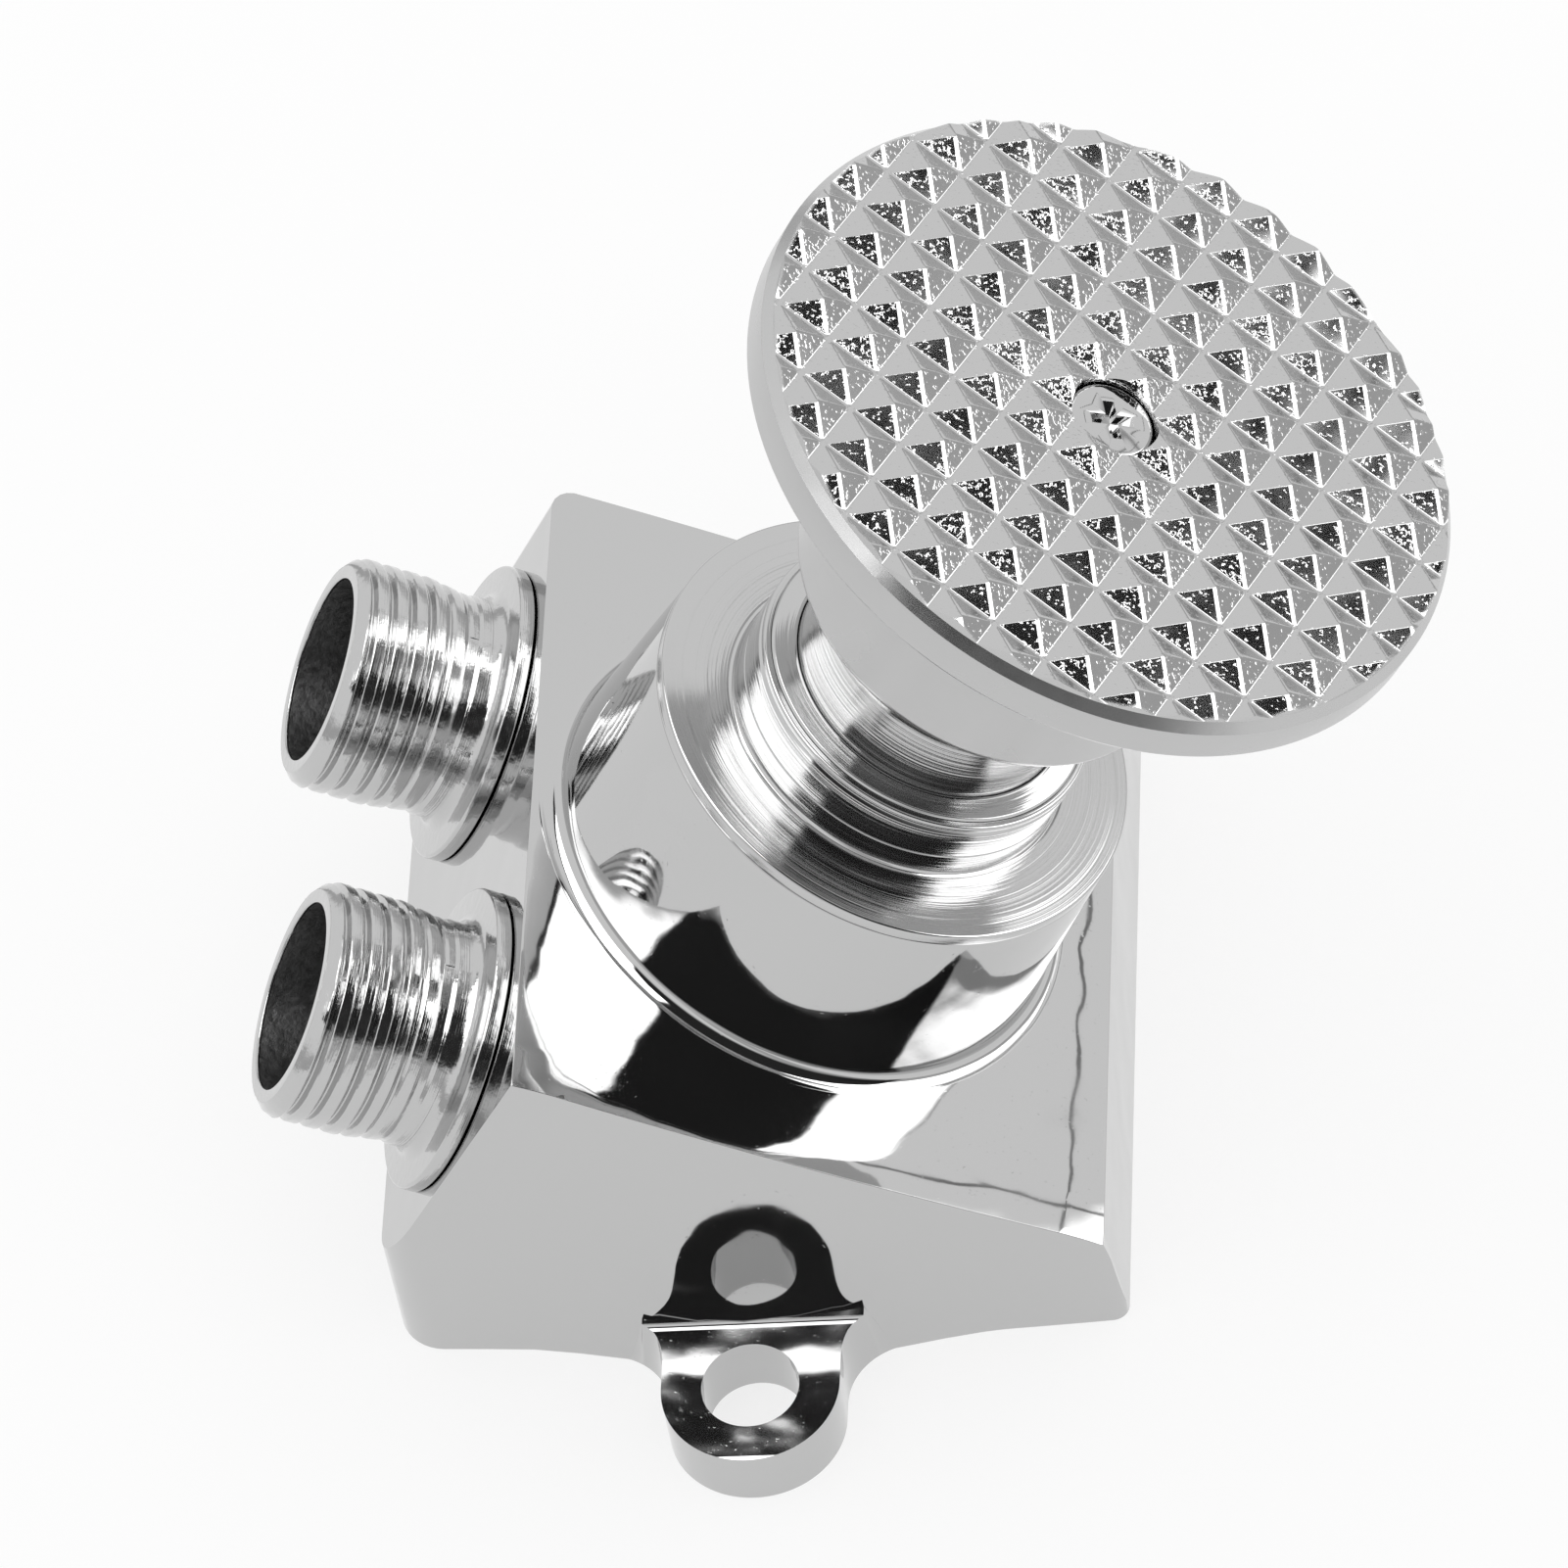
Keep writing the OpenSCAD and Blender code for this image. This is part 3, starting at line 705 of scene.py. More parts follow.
def roll(spot):
    to_low = part_way(spot.x, LOW_FROM, LOW_TO)
    to_front = part_way(spot.y, FRONT_FROM, FRONT_TO)
    side_radius = SIDE_ROLL_R + SIDE_ROLL_MORE * to_low
    at_side = sink(SIDE_SHARE, to_low, BASE_D / 2 - abs(spot.y), side_radius)
    at_low = sink(LOW_SHARE, to_front, (low_crest - spot).dot(downhill), ROLL_R)
    at_crest = sink(CREST_SHARE, to_front, (spot - crest).dot(downhill), ROLL_R)
    return at_side + at_low + at_crest


def swell(spot):
    past_crest = spot.x - crest.x
    face_top = crest.z - max(past_crest * math.tan(LEAN), -past_crest / math.tan(LEAN))
    near_root = max(0, 1 - (spot.x / ROOT_SPREAD) ** 2) ** 2
    crown = FACE_CROWN * (1 - (spot.x / half_w) ** 2)
    return crown + ROOT_SWELL * max(0, 1 - spot.z / face_top) * near_root


for vertex in body.data.vertices:
    spot = vertex.co / MM
    if abs((spot - axis_foot).dot(pedal_way)) < ON_PLANE:
        vertex.co -= roll(spot) * MM * pedal_way
    vertex.co.y += math.copysign(swell(spot), spot.y) * MM
mend(body, BODY_MERGE)
bevel(body, EDGE_ROUND, EDGE_STEPS, EDGE_ANGLE)
level_normals(body)
measure(body)

# %% [markdown]
# The boss stands square on the slope. It could be extruded out of the top face, but the fillet round
# it would then be uneven. It is spun with a fillet that runs out level with the face, so under the
# polish the two read as one casting.

# %% Boss
BOSS_H = 19.05
BOSS_FOOT_R = 23
BOSS_TOP_R = 21.65
BOSS_FILLET = 1.5
BOSS_SKIRT = 1.7
SPIGOT_R = 16.95
SPIGOT_SHOWN = 4
ON_FACE = 0.004

boss = turned("boss", rounded([
    (BOSS_FOOT_R + BOSS_SKIRT + 0.5, -0.3, 0), (BOSS_FOOT_R + BOSS_SKIRT, ON_FACE, 0.4),
    (BOSS_FOOT_R + 0.02, ON_FACE, BOSS_FILLET), (BOSS_TOP_R, BOSS_H, 0.25),
    (SPIGOT_R, BOSS_H, 0), (SPIGOT_R, BOSS_H - SPIGOT_SHOWN, 0)], 8), BIG_STEPS)
settle(boss, LEANING, chrome, 40)
measure(boss)

# %% [markdown]
# Each ear is a milled flat with a bolt hole. Its sides flare into the body, wider at the floor than
# at the top, its flat turns up into the face with a small fillet, and the buffing wheel has worn its
# outer part a tenth of a millimetre lower. An extruded plan would flare alike at the floor and at the
# top. So it is made as a row of ribs from the body out to the round end, each with its own half widths
# and height.

# %% Ribs of an ear
EAR_REACH = 41.4
EAR_END_R = 7.75
EAR_H = 5.8
EAR_FLAT_FLARE = 1.9
EAR_FLAT_RUN = 3.9
EAR_FLAT_ROOT = 34.9
EAR_FOOT_FLARE = 6
EAR_FOOT_ROOT = 33.7
EAR_FILLET = 0.4
EAR_WEAR = 0.10
EAR_WEAR_AT = 39.2
EAR_BURIED = 30
EAR_RIBS = 80
TIP_HALF = 0.03


def drop_of_arc(radius, inset):
    return radius - math.sqrt(max(0.0, radius ** 2 - max(0.0, radius - max(inset, 0.0)) ** 2))


def rib_half(extra, run, root, y):
    if y < -EAR_REACH:
        return max(TIP_HALF, math.sqrt(max(0.0, EAR_END_R ** 2 - (y + EAR_REACH) ** 2)))
    return EAR_END_R + extra * drop_of_arc(1, (-root - y) / run)


def rib_height(y):
    worn = EAR_WEAR * (0.5 - 0.5 * math.tanh(y + EAR_WEAR_AT))
    return EAR_H + drop_of_arc(EAR_FILLET, -EAR_FLAT_ROOT - y) - worn


def rib_place(rib):
    half_way = EAR_RIBS / 2
    if rib == 0:
        return -EAR_BURIED
    if rib <= half_way:
        return -EAR_FOOT_ROOT - EAR_FOOT_FLARE * ((rib - 1) / (half_way - 1)) ** 2
    rest = EAR_REACH + EAR_END_R - EAR_FOOT_ROOT - EAR_FOOT_FLARE
    return -EAR_FOOT_ROOT - EAR_FOOT_FLARE - rest * math.sin((rib / half_way - 1) * math.pi / 2)


print("an ear has", EAR_RIBS, "ribs and reaches", -rib_place(EAR_RIBS), "mm")

# %% [markdown]
# A grid gives the ribs: its outer columns become the feet of the ear, its inner ones the edges of the
# flat. The open bottom, root and tip are closed with faces, the hole is drilled and the edges are
# softened. The far ear is the same shape turned round.

# %% Ears
EAR_HOLE_R = 4.25
DRILL_LEN = 30
EAR_EDGE = 0.3
EAR_EDGE_STEPS = 3
EAR_EDGE_ANGLE = 35


def close_where(piece, wanted):
    bpy.ops.object.mode_set(mode="EDIT")
    bpy.ops.mesh.select_mode(type="VERT")
    bpy.ops.mesh.select_all(action="DESELECT")
    bpy.ops.object.mode_set(mode="OBJECT")
    for vertex in piece.data.vertices:
        vertex.select = wanted(vertex.co / MM)
    bpy.ops.object.mode_set(mode="EDIT")
    bpy.ops.mesh.edge_face_add()


def make_ear(name):
    ear = begin(name, bpy.ops.mesh.primitive_grid_add, x_subdivisions=3, y_subdivisions=EAR_RIBS, size=2)
    start = rib_place(0)
    end = rib_place(EAR_RIBS)
    for vertex in ear.data.vertices:
        y = rib_place(round((1 - vertex.co.y) / 2 * EAR_RIBS))
        column = round((vertex.co.x + 1) * 1.5)
        if column in (0, 3):
            half = rib_half(EAR_FOOT_FLARE, EAR_FOOT_FLARE, EAR_FOOT_ROOT, y)
            z = 0.0
        else:
            half = rib_half(EAR_FLAT_FLARE, EAR_FLAT_RUN, EAR_FLAT_ROOT, y)
            z = rib_height(y)
        vertex.co = Vector((math.copysign(half, vertex.co.x), y, z)) * MM
    close_where(ear, lambda spot: spot.z < CLOSE)
    close_where(ear, lambda spot: abs(spot.y - start) < CLOSE)
    close_where(ear, lambda spot: spot.y < end + CLOSE)
    mend(ear)
    drill = begin("drill", bpy.ops.mesh.primitive_cylinder_add, vertices=64, radius=EAR_HOLE_R * MM,
                  depth=DRILL_LEN * MM, location=(0, -EAR_REACH * MM, 0))
    cut(ear, drill)
    bevel(ear, EAR_EDGE, EAR_EDGE_STEPS, EAR_EDGE_ANGLE)
    level_normals(ear)
    return ear


front_ear = make_ear("front_ear")
back_ear = make_ear("back_ear")
back_ear.rotation_euler = (0, 0, math.pi)
settle(front_ear, UPRIGHT, chrome)
settle(back_ear, UPRIGHT, chrome)
settle(body, UPRIGHT, chrome)
join([body, boss, front_ear, back_ear])
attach(body, "base")
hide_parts("valve_body")
measure(body)

# %% [markdown]
# ## The threaded ports
# A half-inch pipe thread is 20.955 mm over its crests and rises 1.814 mm a turn. Plain rings would
# be simpler, but the slant and the run-out show at this size, so one rise of the outline is drawn and
# the Screw modifier winds it. The end is then chamfered by drawing the crests in along a cone, and at
# the other end the thread sinks into a plain shoulder before the flange.

# %% Thread
THREAD_R = 10.4775
THREAD_ROOT_R = 9.88
THREAD_PITCH = 1.814
THREAD_TURNS = 7
THREAD_STEPS = 72
THREAD_PAST = 0.5
THREAD_MERGE = 0.000002
PORT_REACH = 40.6
MOUTH_R = 9.45
MOUTH_SLOPE = 1.1
SUNK_R = 9.86
RUN_OUT_FROM = 0.6
RUN_OUT_OVER = 2.2

thread_low = PORT_REACH - THREAD_TURNS * THREAD_PITCH + THREAD_PAST


def thread_outline():
    def at(part):
        return thread_low + part * THREAD_PITCH
    return rounded([
        (THREAD_ROOT_R, thread_low, 0), (THREAD_ROOT_R, at(0.07), 0.1), (THREAD_R, at(0.25), 0.24),
        (THREAD_R, at(0.80), 0.24), (THREAD_ROOT_R, at(0.97), 0.05), (THREAD_ROOT_R, at(1), 0)], 4)


def make_thread(name):
    thread = draw_line(name, thread_outline())
    bpy.ops.object.mode_set(mode="OBJECT")
    wind = thread.modifiers.new("wind", "SCREW")
    wind.axis = "Z"
    wind.angle = 2 * math.pi
    wind.screw_offset = THREAD_PITCH * MM
    wind.iterations = THREAD_TURNS
    wind.steps = THREAD_STEPS
    wind.render_steps = THREAD_STEPS
    wind.use_merge_vertices = True
    wind.merge_threshold = THREAD_MERGE
    apply_modifiers(thread)
    for vertex in thread.data.vertices:
        radius = vertex.co.xy.length
        height = min(vertex.co.z / MM, PORT_REACH - 0.02)
        turns_in = (height - thread_low) / THREAD_PITCH
        risen = min(1.0, max(0.0, (turns_in - RUN_OUT_FROM) / RUN_OUT_OVER))
        shallow = SUNK_R + (radius / MM - SUNK_R) * risen
        chamfer = MOUTH_R + (PORT_REACH - height) * MOUTH_SLOPE
        vertex.co.xy *= min(shallow, chamfer) * MM / radius
        vertex.co.z = height * MM
    mend(thread)
    return thread


print("the thread starts", round(thread_low, 2), "mm out from the port's axis foot")

# %% [markdown]
# Under the thread lies the nipple itself, turned with its mouth, shoulder and flange. The bore could
# be a second material on the same mesh. It is a sleeve of its own, because here each piece carries
# one finish. All three are made upright and laid over onto the port face, at the back and at the front.

# %% Nipples
PORT_Y = 18
PORT_DEPTH = 15.4
PORT_BORE_R = 8.3
BORE_MID = 28
NIPPLE_END = 15.4
NIPPLE_R = 9.6
FLANGE_R = 13.4
FLANGE_IN = 25.5
FLANGE_T = 1.4
SHOULDER_R = 10.02
SHOULDER_END = 29.0
CORE_R = THREAD_ROOT_R - 0.04
MOUTH_LIP = 0.3
PORT_STEPS = 128

flange_out = FLANGE_IN + FLANGE_T
core_outline = rounded([
    (PORT_BORE_R, PORT_REACH - MOUTH_LIP, 0), (PORT_BORE_R, PORT_REACH, 0.15), (MOUTH_R, PORT_REACH, 0.15),
    (CORE_R, PORT_REACH - 0.4, 0), (CORE_R, SHOULDER_END + 0.4, 0.05), (SHOULDER_R, SHOULDER_END, 0.2),
    (SHOULDER_R, flange_out, 1.1), (FLANGE_R, flange_out, 0.3), (FLANGE_R, FLANGE_IN, 0.2),
    (NIPPLE_R, FLANGE_IN, 0), (NIPPLE_R, NIPPLE_END, 0), (PORT_BORE_R, NIPPLE_END, 0)], 5)
bore_outline = [(PORT_BORE_R, NIPPLE_END), (PORT_BORE_R, BORE_MID), (PORT_BORE_R, PORT_REACH - MOUTH_LIP)]


def make_nipple(name, side, node):
    core = turned(name, core_outline, PORT_STEPS)
    bore = turned(name + "_bore", bore_outline, PORT_STEPS)
    mend(bore, inside=True)
    thread = make_thread(name + "_thread")
    port_foot = Matrix.Translation(Vector((0, side * PORT_Y, -PORT_DEPTH)) * MM)
    on_port = LEANING @ port_foot @ Matrix.Rotation(-math.pi / 2, 4, "Y")
    settle(core, on_port, thread_plate, 40)
    settle(thread, on_port, thread_plate, 50)
    settle(bore, on_port, bore_metal)
    for piece in (core, thread, bore):
        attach(piece, "base")
    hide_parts(node)
    measure(core)


make_nipple("inlet_nipple_skin", 1, "inlet_nipple")
make_nipple("outlet_nipple_skin", -1, "outlet_nipple")

# %% [markdown]
# ## The bonnet
# The bonnet is turned in one go: a thin flange level with the boss, a fine groove in the corner, the
# neck with a light and a deeper groove, and inside it the sleeve for the shank. Stacked cylinders
# would leave hard corners, and the thin bright lines in the photo look like soft corners and grooves.

# %% Bonnet
FLANGE_TOP = 20.15
NECK_R = 15.15
NECK_TOP = 26.95
LIGHT_GROOVE = 22.5
DEEP_GROOVE = 25.75
GLAND_R = 14.5
GLAND_SEAT = 26.3
RUN = 0.05
SLEEVE_R = 13.43
BONNET_FLOOR = 11.4
SPIGOT_LOW = 8
STEM_HOLE_R = 5.05

bonnet = turned("bonnet_skin", rounded([
    (STEM_HOLE_R, SPIGOT_LOW, 0), (SPIGOT_R, SPIGOT_LOW, 0), (SPIGOT_R, BOSS_H, 0), (BOSS_TOP_R, BOSS_H, 0),
    (BOSS_TOP_R, FLANGE_TOP, 0.25), (NECK_R + 0.6, FLANGE_TOP, 0.1), (NECK_R + 0.4, FLANGE_TOP - 0.12, 0.1),
    (NECK_R + 0.15, FLANGE_TOP, 0.1), (NECK_R, FLANGE_TOP + 0.3, 0.2), (NECK_R, LIGHT_GROOVE, 0.05),
    (NECK_R - 0.08, LIGHT_GROOVE + 0.1, 0.05), (NECK_R, LIGHT_GROOVE + 0.25, 0.05),
    (NECK_R, DEEP_GROOVE, 0.1), (NECK_R - 0.28, DEEP_GROOVE + 0.3, 0.1), (NECK_R, DEEP_GROOVE + 0.6, 0.1),
    (NECK_R, NECK_TOP, 0.22), (GLAND_R + RUN, NECK_TOP, 0), (GLAND_R + RUN, GLAND_SEAT, 0),
    (SLEEVE_R, GLAND_SEAT, 0), (SLEEVE_R, BONNET_FLOOR, 0), (STEM_HOLE_R, BONNET_FLOOR, 0),
    (STEM_HOLE_R, SPIGOT_LOW, 0)], 4), BIG_STEPS)
settle(bonnet, LEANING, turned_plate, 30)
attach(bonnet, "base")
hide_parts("bonnet")
measure(bonnet)

# %% [markdown]
# The gland ring closes the neck round the shank. The exact model makes it a cone, but in the photo it
# is nearly flat with a soft outer corner, so a new outline is turned instead of using the solid.

# %% Gland ring
GLAND_TOP = 27.5
GLAND_LOW = 24.9
GLAND_SKIRT_R = SLEEVE_R - 0.03
SHANK_R = 12.3
shank_hole_r = SHANK_R + RUN

gland = turned("gland_ring_skin", rounded([
    (shank_hole_r, GLAND_LOW, 0), (shank_hole_r, GLAND_TOP, 0.1), (shank_hole_r + 0.3, GLAND_TOP, 0.1),
    (GLAND_R - 0.15, NECK_TOP + 0.3, 0.15), (GLAND_R, NECK_TOP + 0.05, 0.1), (GLAND_R, GLAND_SEAT, 0),
    (GLAND_SKIRT_R, GLAND_SEAT, 0), (GLAND_SKIRT_R, GLAND_LOW, 0),
    (shank_hole_r, GLAND_LOW, 0)], 4), BIG_STEPS)
settle(gland, LEANING, turned_plate, 30)
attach(gland, "base")
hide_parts("gland_ring")
measure(gland)

# %% [markdown]
# ## The pedal
# Plate, hub and shank are one casting, turned below and hollow for the spring. One outline gives it
# all, from the stem's hole round the shank, the hub and the rim to the recess for the screw. The top
# is left low here, because the tread has grains of its own and lies on it as a second piece.

# %% Pedal body
PLATE_R = 31
PLATE_UNDER = 60.8
HUB_R = 17.4
HUB_LOW = 39.4
SHANK_TOP = 34.5
SHANK_LOW = 18.6
SHANK_IN_R = 10.2
SHANK_CHAMFER = 0.3
ROOM_TOP = 34.9
STEM_R = 5.03
STEM_TOP = 50
SCREW_HOLE_R = 2.2
RECESS_FLOOR = 60.9
RECESS_R = 3.88
RIM_LOW = 64.12

pedal = turned("pedal_skin", rounded([
    (SCREW_HOLE_R, STEM_TOP, 0), (STEM_R, STEM_TOP, 0), (STEM_R, ROOM_TOP, 0), (SHANK_IN_R, ROOM_TOP, 0),
    (SHANK_IN_R, SHANK_LOW, 0), (SHANK_R - SHANK_CHAMFER, SHANK_LOW, 0),
    (SHANK_R, SHANK_LOW + SHANK_CHAMFER, 0), (SHANK_R, SHANK_TOP, 2.2), (HUB_R, HUB_LOW, 1.2),
    (HUB_R, PLATE_UNDER, 1.0), (PLATE_R, PLATE_UNDER, 0.4), (PLATE_R, RIM_LOW, 0.06),
    (RECESS_R, RIM_LOW, 0), (RECESS_R, RECESS_FLOOR, 0), (SCREW_HOLE_R, RECESS_FLOOR, 0),
    (SCREW_HOLE_R, STEM_TOP, 0)], 6), BIG_STEPS)
settle(pedal, LEANING, pedal_finish, 30)
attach(pedal, "plunger")
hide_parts("pedal_plate")
measure(pedal)

# %% [markdown]
# The tread is a field of square pyramids, cut off by the round rim. An Array of cones would not share
# its edges. Here a grid has every second point lifted and is split along the long diagonals, so each
# pyramid has four flat sides. The ridges are softened as a casting is, before the disc is cut, because
# tiny slivers at the rim would shrink the bevel everywhere.

# %% Field of pyramids
TREAD_PITCH = 4.95
TREAD_H = 1.0
TREAD_TURN = math.radians(-26.8)
TREAD_ROWS = 13
TREAD_ROUND = 0.22
TREAD_ROUND_STEPS = 3
TREAD_ROUND_ANGLE = 12
TREAD_SLAB = 3
PLATE_TOP = 65

tread_w = TREAD_ROWS * TREAD_PITCH
tread = begin("tread_skin", bpy.ops.mesh.primitive_grid_add, x_subdivisions=2 * TREAD_ROWS,
              y_subdivisions=2 * TREAD_ROWS, size=tread_w * MM)
half_pitch = TREAD_PITCH / 2 * MM
for vertex in tread.data.vertices:
    column = round((vertex.co.x + tread_w * MM / 2) / half_pitch)
    row = round((vertex.co.y + tread_w * MM / 2) / half_pitch)
    vertex.co.z = TREAD_H * MM if column % 2 == 1 and row % 2 == 1 else 0.0
bpy.ops.object.mode_set(mode="EDIT")
bpy.ops.mesh.select_all(action="SELECT")
bpy.ops.mesh.quads_convert_to_tris(quad_method="LONGEST_DIAGONAL")
bpy.ops.object.mode_set(mode="OBJECT")
bevel(tread, TREAD_ROUND, TREAD_ROUND_STEPS, TREAD_ROUND_ANGLE)
apply_modifiers(tread)
measure(tread)

# %% [markdown]
# The field gets a flat bottom and is turned to the odd angle at which the pedal stood in the photo. A
# disc with the rim's chamfer then cuts it out. The rim and the walls of cut pyramids keep sharp
# normals, and the ridges smooth ones.

# %% Tread
RIM_IN = 30.31
DISC_LOW = 63
DISC_HIGH = 67
DISC_STEPS = 160
TREAD_SHARP = 28

bpy.ops.object.mode_set(mode="EDIT")
bpy.ops.mesh.select_all(action="SELECT")
bpy.ops.mesh.extrude_region_move(TRANSFORM_OT_translate={"value": (0, 0, -TREAD_SLAB * MM)})
bpy.ops.object.mode_set(mode="OBJECT")
for vertex in tread.data.vertices:
    if vertex.co.z < -MM:
        vertex.co.z = (RIM_LOW - PLATE_TOP) * MM
mend(tread)
tread.rotation_euler = (0, 0, TREAD_TURN)
tread.location = (0, 0, PLATE_TOP * MM)
apply_place()
rim_slope = (PLATE_R - RIM_IN) / (PLATE_TOP - RIM_LOW)
disc = turned("disc", [
    (RECESS_R, DISC_LOW), (PLATE_R + rim_slope * (RIM_LOW - DISC_LOW), DISC_LOW), (RIM_IN, PLATE_TOP),
    (RIM_IN - 0.2, DISC_HIGH), (RECESS_R, DISC_HIGH), (RECESS_R, DISC_LOW)], DISC_STEPS)
cut(tread, disc, "INTERSECT")
settle(tread, LEANING, tread_plate)
level_normals(tread, TREAD_SHARP)
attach(tread, "plunger")
measure(tread)

# %% [markdown]
# The screw has a flat head with a cross recess. A painted cross would stay flat, and the recess is
# what catches the light, so it is cut. Its arms taper towards the tip, so the tools are two tapered
# bars.

# %% Pedal screw
SCREW_HEAD_R = 3.78
SCREW_SHANK_R = 2
SCREW_TOP = 64.55
SCREW_SEAT = 61.7
SCREW_LEN = 20
SCREW_STEPS = 96
CROSS_LEN = 5.2
CROSS_W = 1.2
CROSS_DEPTH = 1.1
CROSS_TURN = math.radians(12)
TIP_LEN = 0.45
TIP_W = 0.7
CROSS_EDGE = 0.08
CROSS_EDGE_STEPS = 2
CROSS_EDGE_ANGLE = 40

screw_tip = SCREW_SEAT - SCREW_LEN
screw = turned("pedal_screw_skin", rounded([
    (0, screw_tip, 0), (SCREW_SHANK_R, screw_tip, 0), (SCREW_SHANK_R, SCREW_SEAT, 0),
    (SCREW_HEAD_R, SCREW_SEAT, 0), (SCREW_HEAD_R, SCREW_TOP, 0.35), (0, SCREW_TOP + 0.1, 0)], 5), SCREW_STEPS)
for quarter in (0, 1):
    bar = begin("bar", bpy.ops.mesh.primitive_cube_add, size=1)
    bar.scale = (CROSS_LEN * MM, CROSS_W * MM, 2 * CROSS_DEPTH * MM)
    apply_place()
    for vertex in bar.data.vertices:
        if vertex.co.z < 0:
            vertex.co.x *= TIP_LEN
            vertex.co.y *= TIP_W
    bar.rotation_euler = (0, 0, CROSS_TURN + quarter * math.pi / 2)
    bar.location = (0, 0, SCREW_TOP * MM)
    apply_place()
    cut(screw, bar)
bevel(screw, CROSS_EDGE, CROSS_EDGE_STEPS, CROSS_EDGE_ANGLE)
apply_modifiers(screw)
settle(screw, LEANING, chrome, 30)
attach(screw, "plunger")
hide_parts("pedal_screw")
measure(screw)

# %% [markdown]
# ## The return spring
# The spring is hidden in the hollow shank, but it is what lifts the pedal, and on the real valve the
# pedal squeezes it along the leaning axis, so it is wound from round wire. A curve with a round bevel
# could give the wire too. The Screw modifier winds a circle directly into a mesh that can be squashed.

# %% Return spring
SPRING_R = 7.6
WIRE_R = 0.8
WIRE_SIDES = 14
SPRING_LOW = 13.3
SPRING_HIGH = 32.7
SPRING_TURNS = 6
SPRING_STEPS = 40

spring = begin("return_spring_skin", bpy.ops.mesh.primitive_circle_add, vertices=WIRE_SIDES,
               radius=WIRE_R * MM, fill_type="NOTHING")
spring.rotation_euler = (math.pi / 2, 0, 0)
spring.location = (SPRING_R * MM, 0, SPRING_LOW * MM)
apply_place()
coil = spring.modifiers.new("coil", "SCREW")
coil.axis = "Z"
coil.screw_offset = (SPRING_HIGH - SPRING_LOW) / SPRING_TURNS * MM
coil.iterations = SPRING_TURNS
coil.steps = SPRING_STEPS
coil.render_steps = SPRING_STEPS
apply_modifiers(spring)
bpy.ops.object.mode_set(mode="EDIT")
bpy.ops.mesh.select_all(action="SELECT")
bpy.ops.mesh.fill_holes(sides=WIRE_SIDES)
mend(spring)
settle(spring, LEANING, slot_finish["steel"], 40)
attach(spring, "base")
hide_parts("return_spring")
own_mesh(spring)
measure(spring)

# %% [markdown]
# ## Floor and light
# The valve in the photo is cut out on plain white. A piece that stands on nothing looks wrong from
# other sides, so it gets a floor of pale paper with a faint shadow. For the camera and for mirrors the
# paper is mixed with plain white, which brings it near the photo's white. A brighter floor would also
# be whiter, but it would throw more light up at the valve.

# %% Floor
FLOOR_R = 0.42
FLOOR_WHITE = 0.75
PAPER_DARK = 0.95
PAPER_LIGHT = 0.97

floor = begin("floor", bpy.ops.mesh.primitive_circle_add, vertices=96, radius=FLOOR_R, fill_type="NGON")
floor_material, floor_finish = new_finish("pale_floor")
fibres = floor_finish.noise(floor_finish.place(), 40.0).ease(0.0, 1.0, PAPER_DARK, PAPER_LIGHT)
paper = floor_finish.node("ShaderNodeBsdfDiffuse", {}, {"Color": floor_finish.grey(fibres)})
white = floor_finish.node("ShaderNodeEmission", {}, {"Color": (1, 1, 1, 1), "Strength": 1.0})
to_camera = floor_finish.node("ShaderNodeLightPath", output="Is Camera Ray")
to_mirror = floor_finish.node("ShaderNodeLightPath", output="Is Glossy Ray")
whitening = to_camera.most(to_mirror) * FLOOR_WHITE
whitened = floor_finish.node("ShaderNodeMixShader", {}, {"Fac": whitening, 1: paper, 2: white})
floor_finish.node("ShaderNodeOutputMaterial", {}, {"Surface": whitened})
floor.data.materials.append(floor_material)
print("floor", 2 * FLOOR_R, "m across")

# %% [markdown]
# Polished metal shows nothing but what stands around it. The reflections read as a white tent: the
# flats mirror it and look mid grey, and the camera looks in through a dark gap with a bright panel on
# each side. Lamps and cards could be set up as pieces. Drawn in the sky, from directions alone, they
# are easier to fit: `swing` is how far a direction turns from the middle of the gap, round a point
# near the pedal axis, and `fall` how far it falls from that axis.

# %% Directions in the tent
GAP_TURN = math.radians(282.5)
GAP_NEAR = 0.16

world = bpy.data.worlds.new("tent")
bpy.context.scene.world = world
world.use_nodes = True
tent = Finish(world.node_tree)
look = tent.node("ShaderNodeTexCoord", output="Generated")


def polar_way(fall, turn):
    flat = math.cos(turn) * downhill + math.sin(turn) * across_face
    return math.cos(fall) * pedal_way + math.sin(fall) * flat


def facing(direction):
    return tent.node("ShaderNodeVectorMath", {"operation": "DOT_PRODUCT"}, {0: look, 1: tuple(direction)},
                     output="Value")


gap_way = polar_way(math.pi / 2, GAP_TURN)
panel_way = polar_way(math.pi / 2, GAP_TURN + math.pi / 2)
swing = facing(panel_way).angle_over(facing(gap_way) + GAP_NEAR)
fall = facing(pedal_way).arc()
rise = facing((0, 0, 1))
print("the gap opens towards", [round(c, 2) for c in gap_way])

# %% [markdown]
# The two panels make the white patches on the boss and the neck, the gap the black between them. The
# gap widens under the left panel, which the ear and the boss show, and a thin dark line, the edge of
# its frame, closes that panel. Each pair of numbers is where an edge starts and where it is complete,
# in radians, so a wide pair is a soft edge.

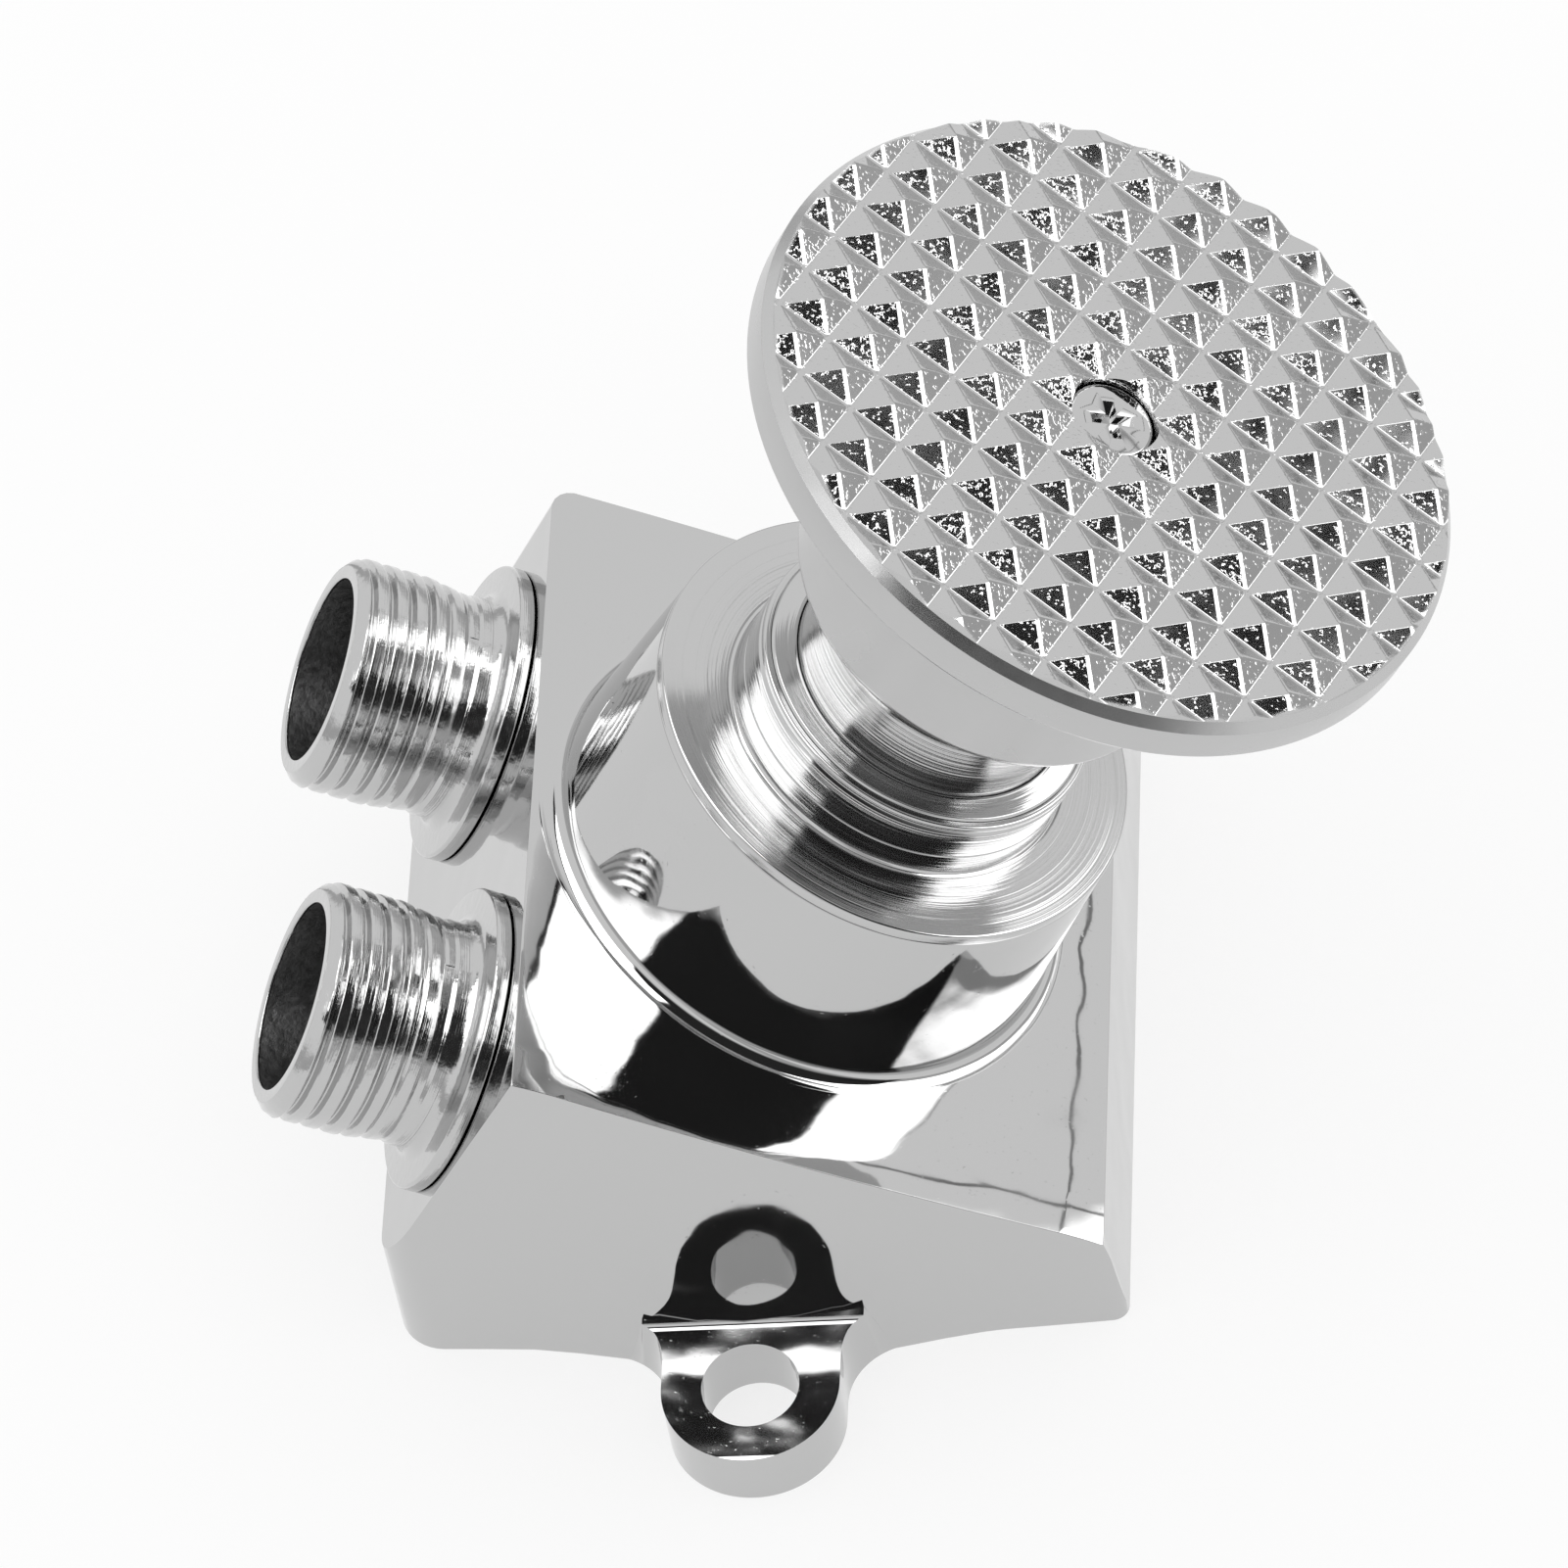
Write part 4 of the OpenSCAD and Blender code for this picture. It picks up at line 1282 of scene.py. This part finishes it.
# %% Gap and panels
GAP_HALF = math.radians(40.5)
PANEL_LEFT = math.radians(130)
PANEL_RIGHT = math.radians(112)
EDGE_SOFT = 0.02
MID_SOFT = 0.01
RIGHT_SOFT = 0.14
LEFT_REACH = (1.08, 1.0)
RIGHT_REACH = (0.95, 0.86)
GAP_REACH = (1.30, 1.05)
UNDER_FROM = (0.66, 0.70)
UNDER_FALL = 0.71
UNDER_SWING = 0.912
UNDER_SLOPE = 0.68
UNDER_MOST = 1.0
FRAME_EDGE = (-PANEL_LEFT - 0.17, -PANEL_LEFT - 0.13)

in_gap = swing.size().ease(GAP_HALF + EDGE_SOFT, GAP_HALF - EDGE_SOFT)
near_left = swing.ease(-PANEL_LEFT - EDGE_SOFT, -PANEL_LEFT + EDGE_SOFT)
near_right = swing.ease(PANEL_RIGHT + RIGHT_SOFT, PANEL_RIGHT - RIGHT_SOFT)
left_side = swing.ease(MID_SOFT, -MID_SOFT)
under_edge = ((fall - UNDER_FALL) * UNDER_SLOPE + UNDER_SWING).least(UNDER_MOST)
under_left = (swing + under_edge).ease(-EDGE_SOFT, EDGE_SOFT) * left_side * fall.ease(*UNDER_FROM)
reach = left_side * fall.ease(*LEFT_REACH) + (1.0 - left_side) * fall.ease(*RIGHT_REACH)
panels = (1.0 - in_gap) * (1.0 - under_left) * near_left * near_right * reach
frame_edge = (1.0 - near_left) * swing.ease(*FRAME_EDGE) * fall.ease(*LEFT_REACH)
gap = in_gap.most(under_left) * fall.ease(*GAP_REACH)
print("a panel on each side of the gap, to", round(math.degrees(PANEL_LEFT)), "degrees on the left")

# %% [markdown]
# Two thin dark lines in the top face are taken for seams of the tent's cloth. Near the horizon the
# tent is greyer, and under it everything is floor. Only mirrors see this drawing: all other light is
# plain white, so the floor and the duller pieces are lit evenly.

# %% Tent
SEAM_FRONT = 0.555
SEAM_LOW = 0.346
SEAM_EDGE = (0.007, 0.003)
SEAM_DARK = 0.8
MIRROR_FALL = 0.75
MIRROR_TURN = 1.14
MIRROR_EDGE = (0.95, 0.97)
HORIZON = (0.14, 0.30)
HORIZON_GREY = 0.57
UNDERFOOT = (-0.02, -0.06)
PANEL_LIGHT = 2.9
DARKNESS = 0.97

seam_front = (facing(across_face) - SEAM_FRONT).size().ease(*SEAM_EDGE)
seam_low = (facing(downhill) - SEAM_LOW).size().ease(*SEAM_EDGE)
in_top_face = facing(polar_way(MIRROR_FALL, MIRROR_TURN)).ease(*MIRROR_EDGE)
seams = seam_front.most(seam_low) * in_top_face
dark = gap.most(frame_edge).most(seams * SEAM_DARK)
cloth = rise.ease(*HORIZON, HORIZON_GREY, 1.0).most(rise.ease(*UNDERFOOT))
level = (cloth + panels * PANEL_LIGHT) * (1.0 - dark * DARKNESS)
mirrored = tent.node("ShaderNodeLightPath", output="Is Glossy Ray")
shown = 1.0 + (level - 1.0) * mirrored
sky = tent.node("ShaderNodeBackground", {}, {"Color": tent.grey(shown), "Strength": 1.0})
tent.node("ShaderNodeOutputWorld", {}, {"Surface": sky})
print("tent ready with", len(world.node_tree.nodes), "nodes")
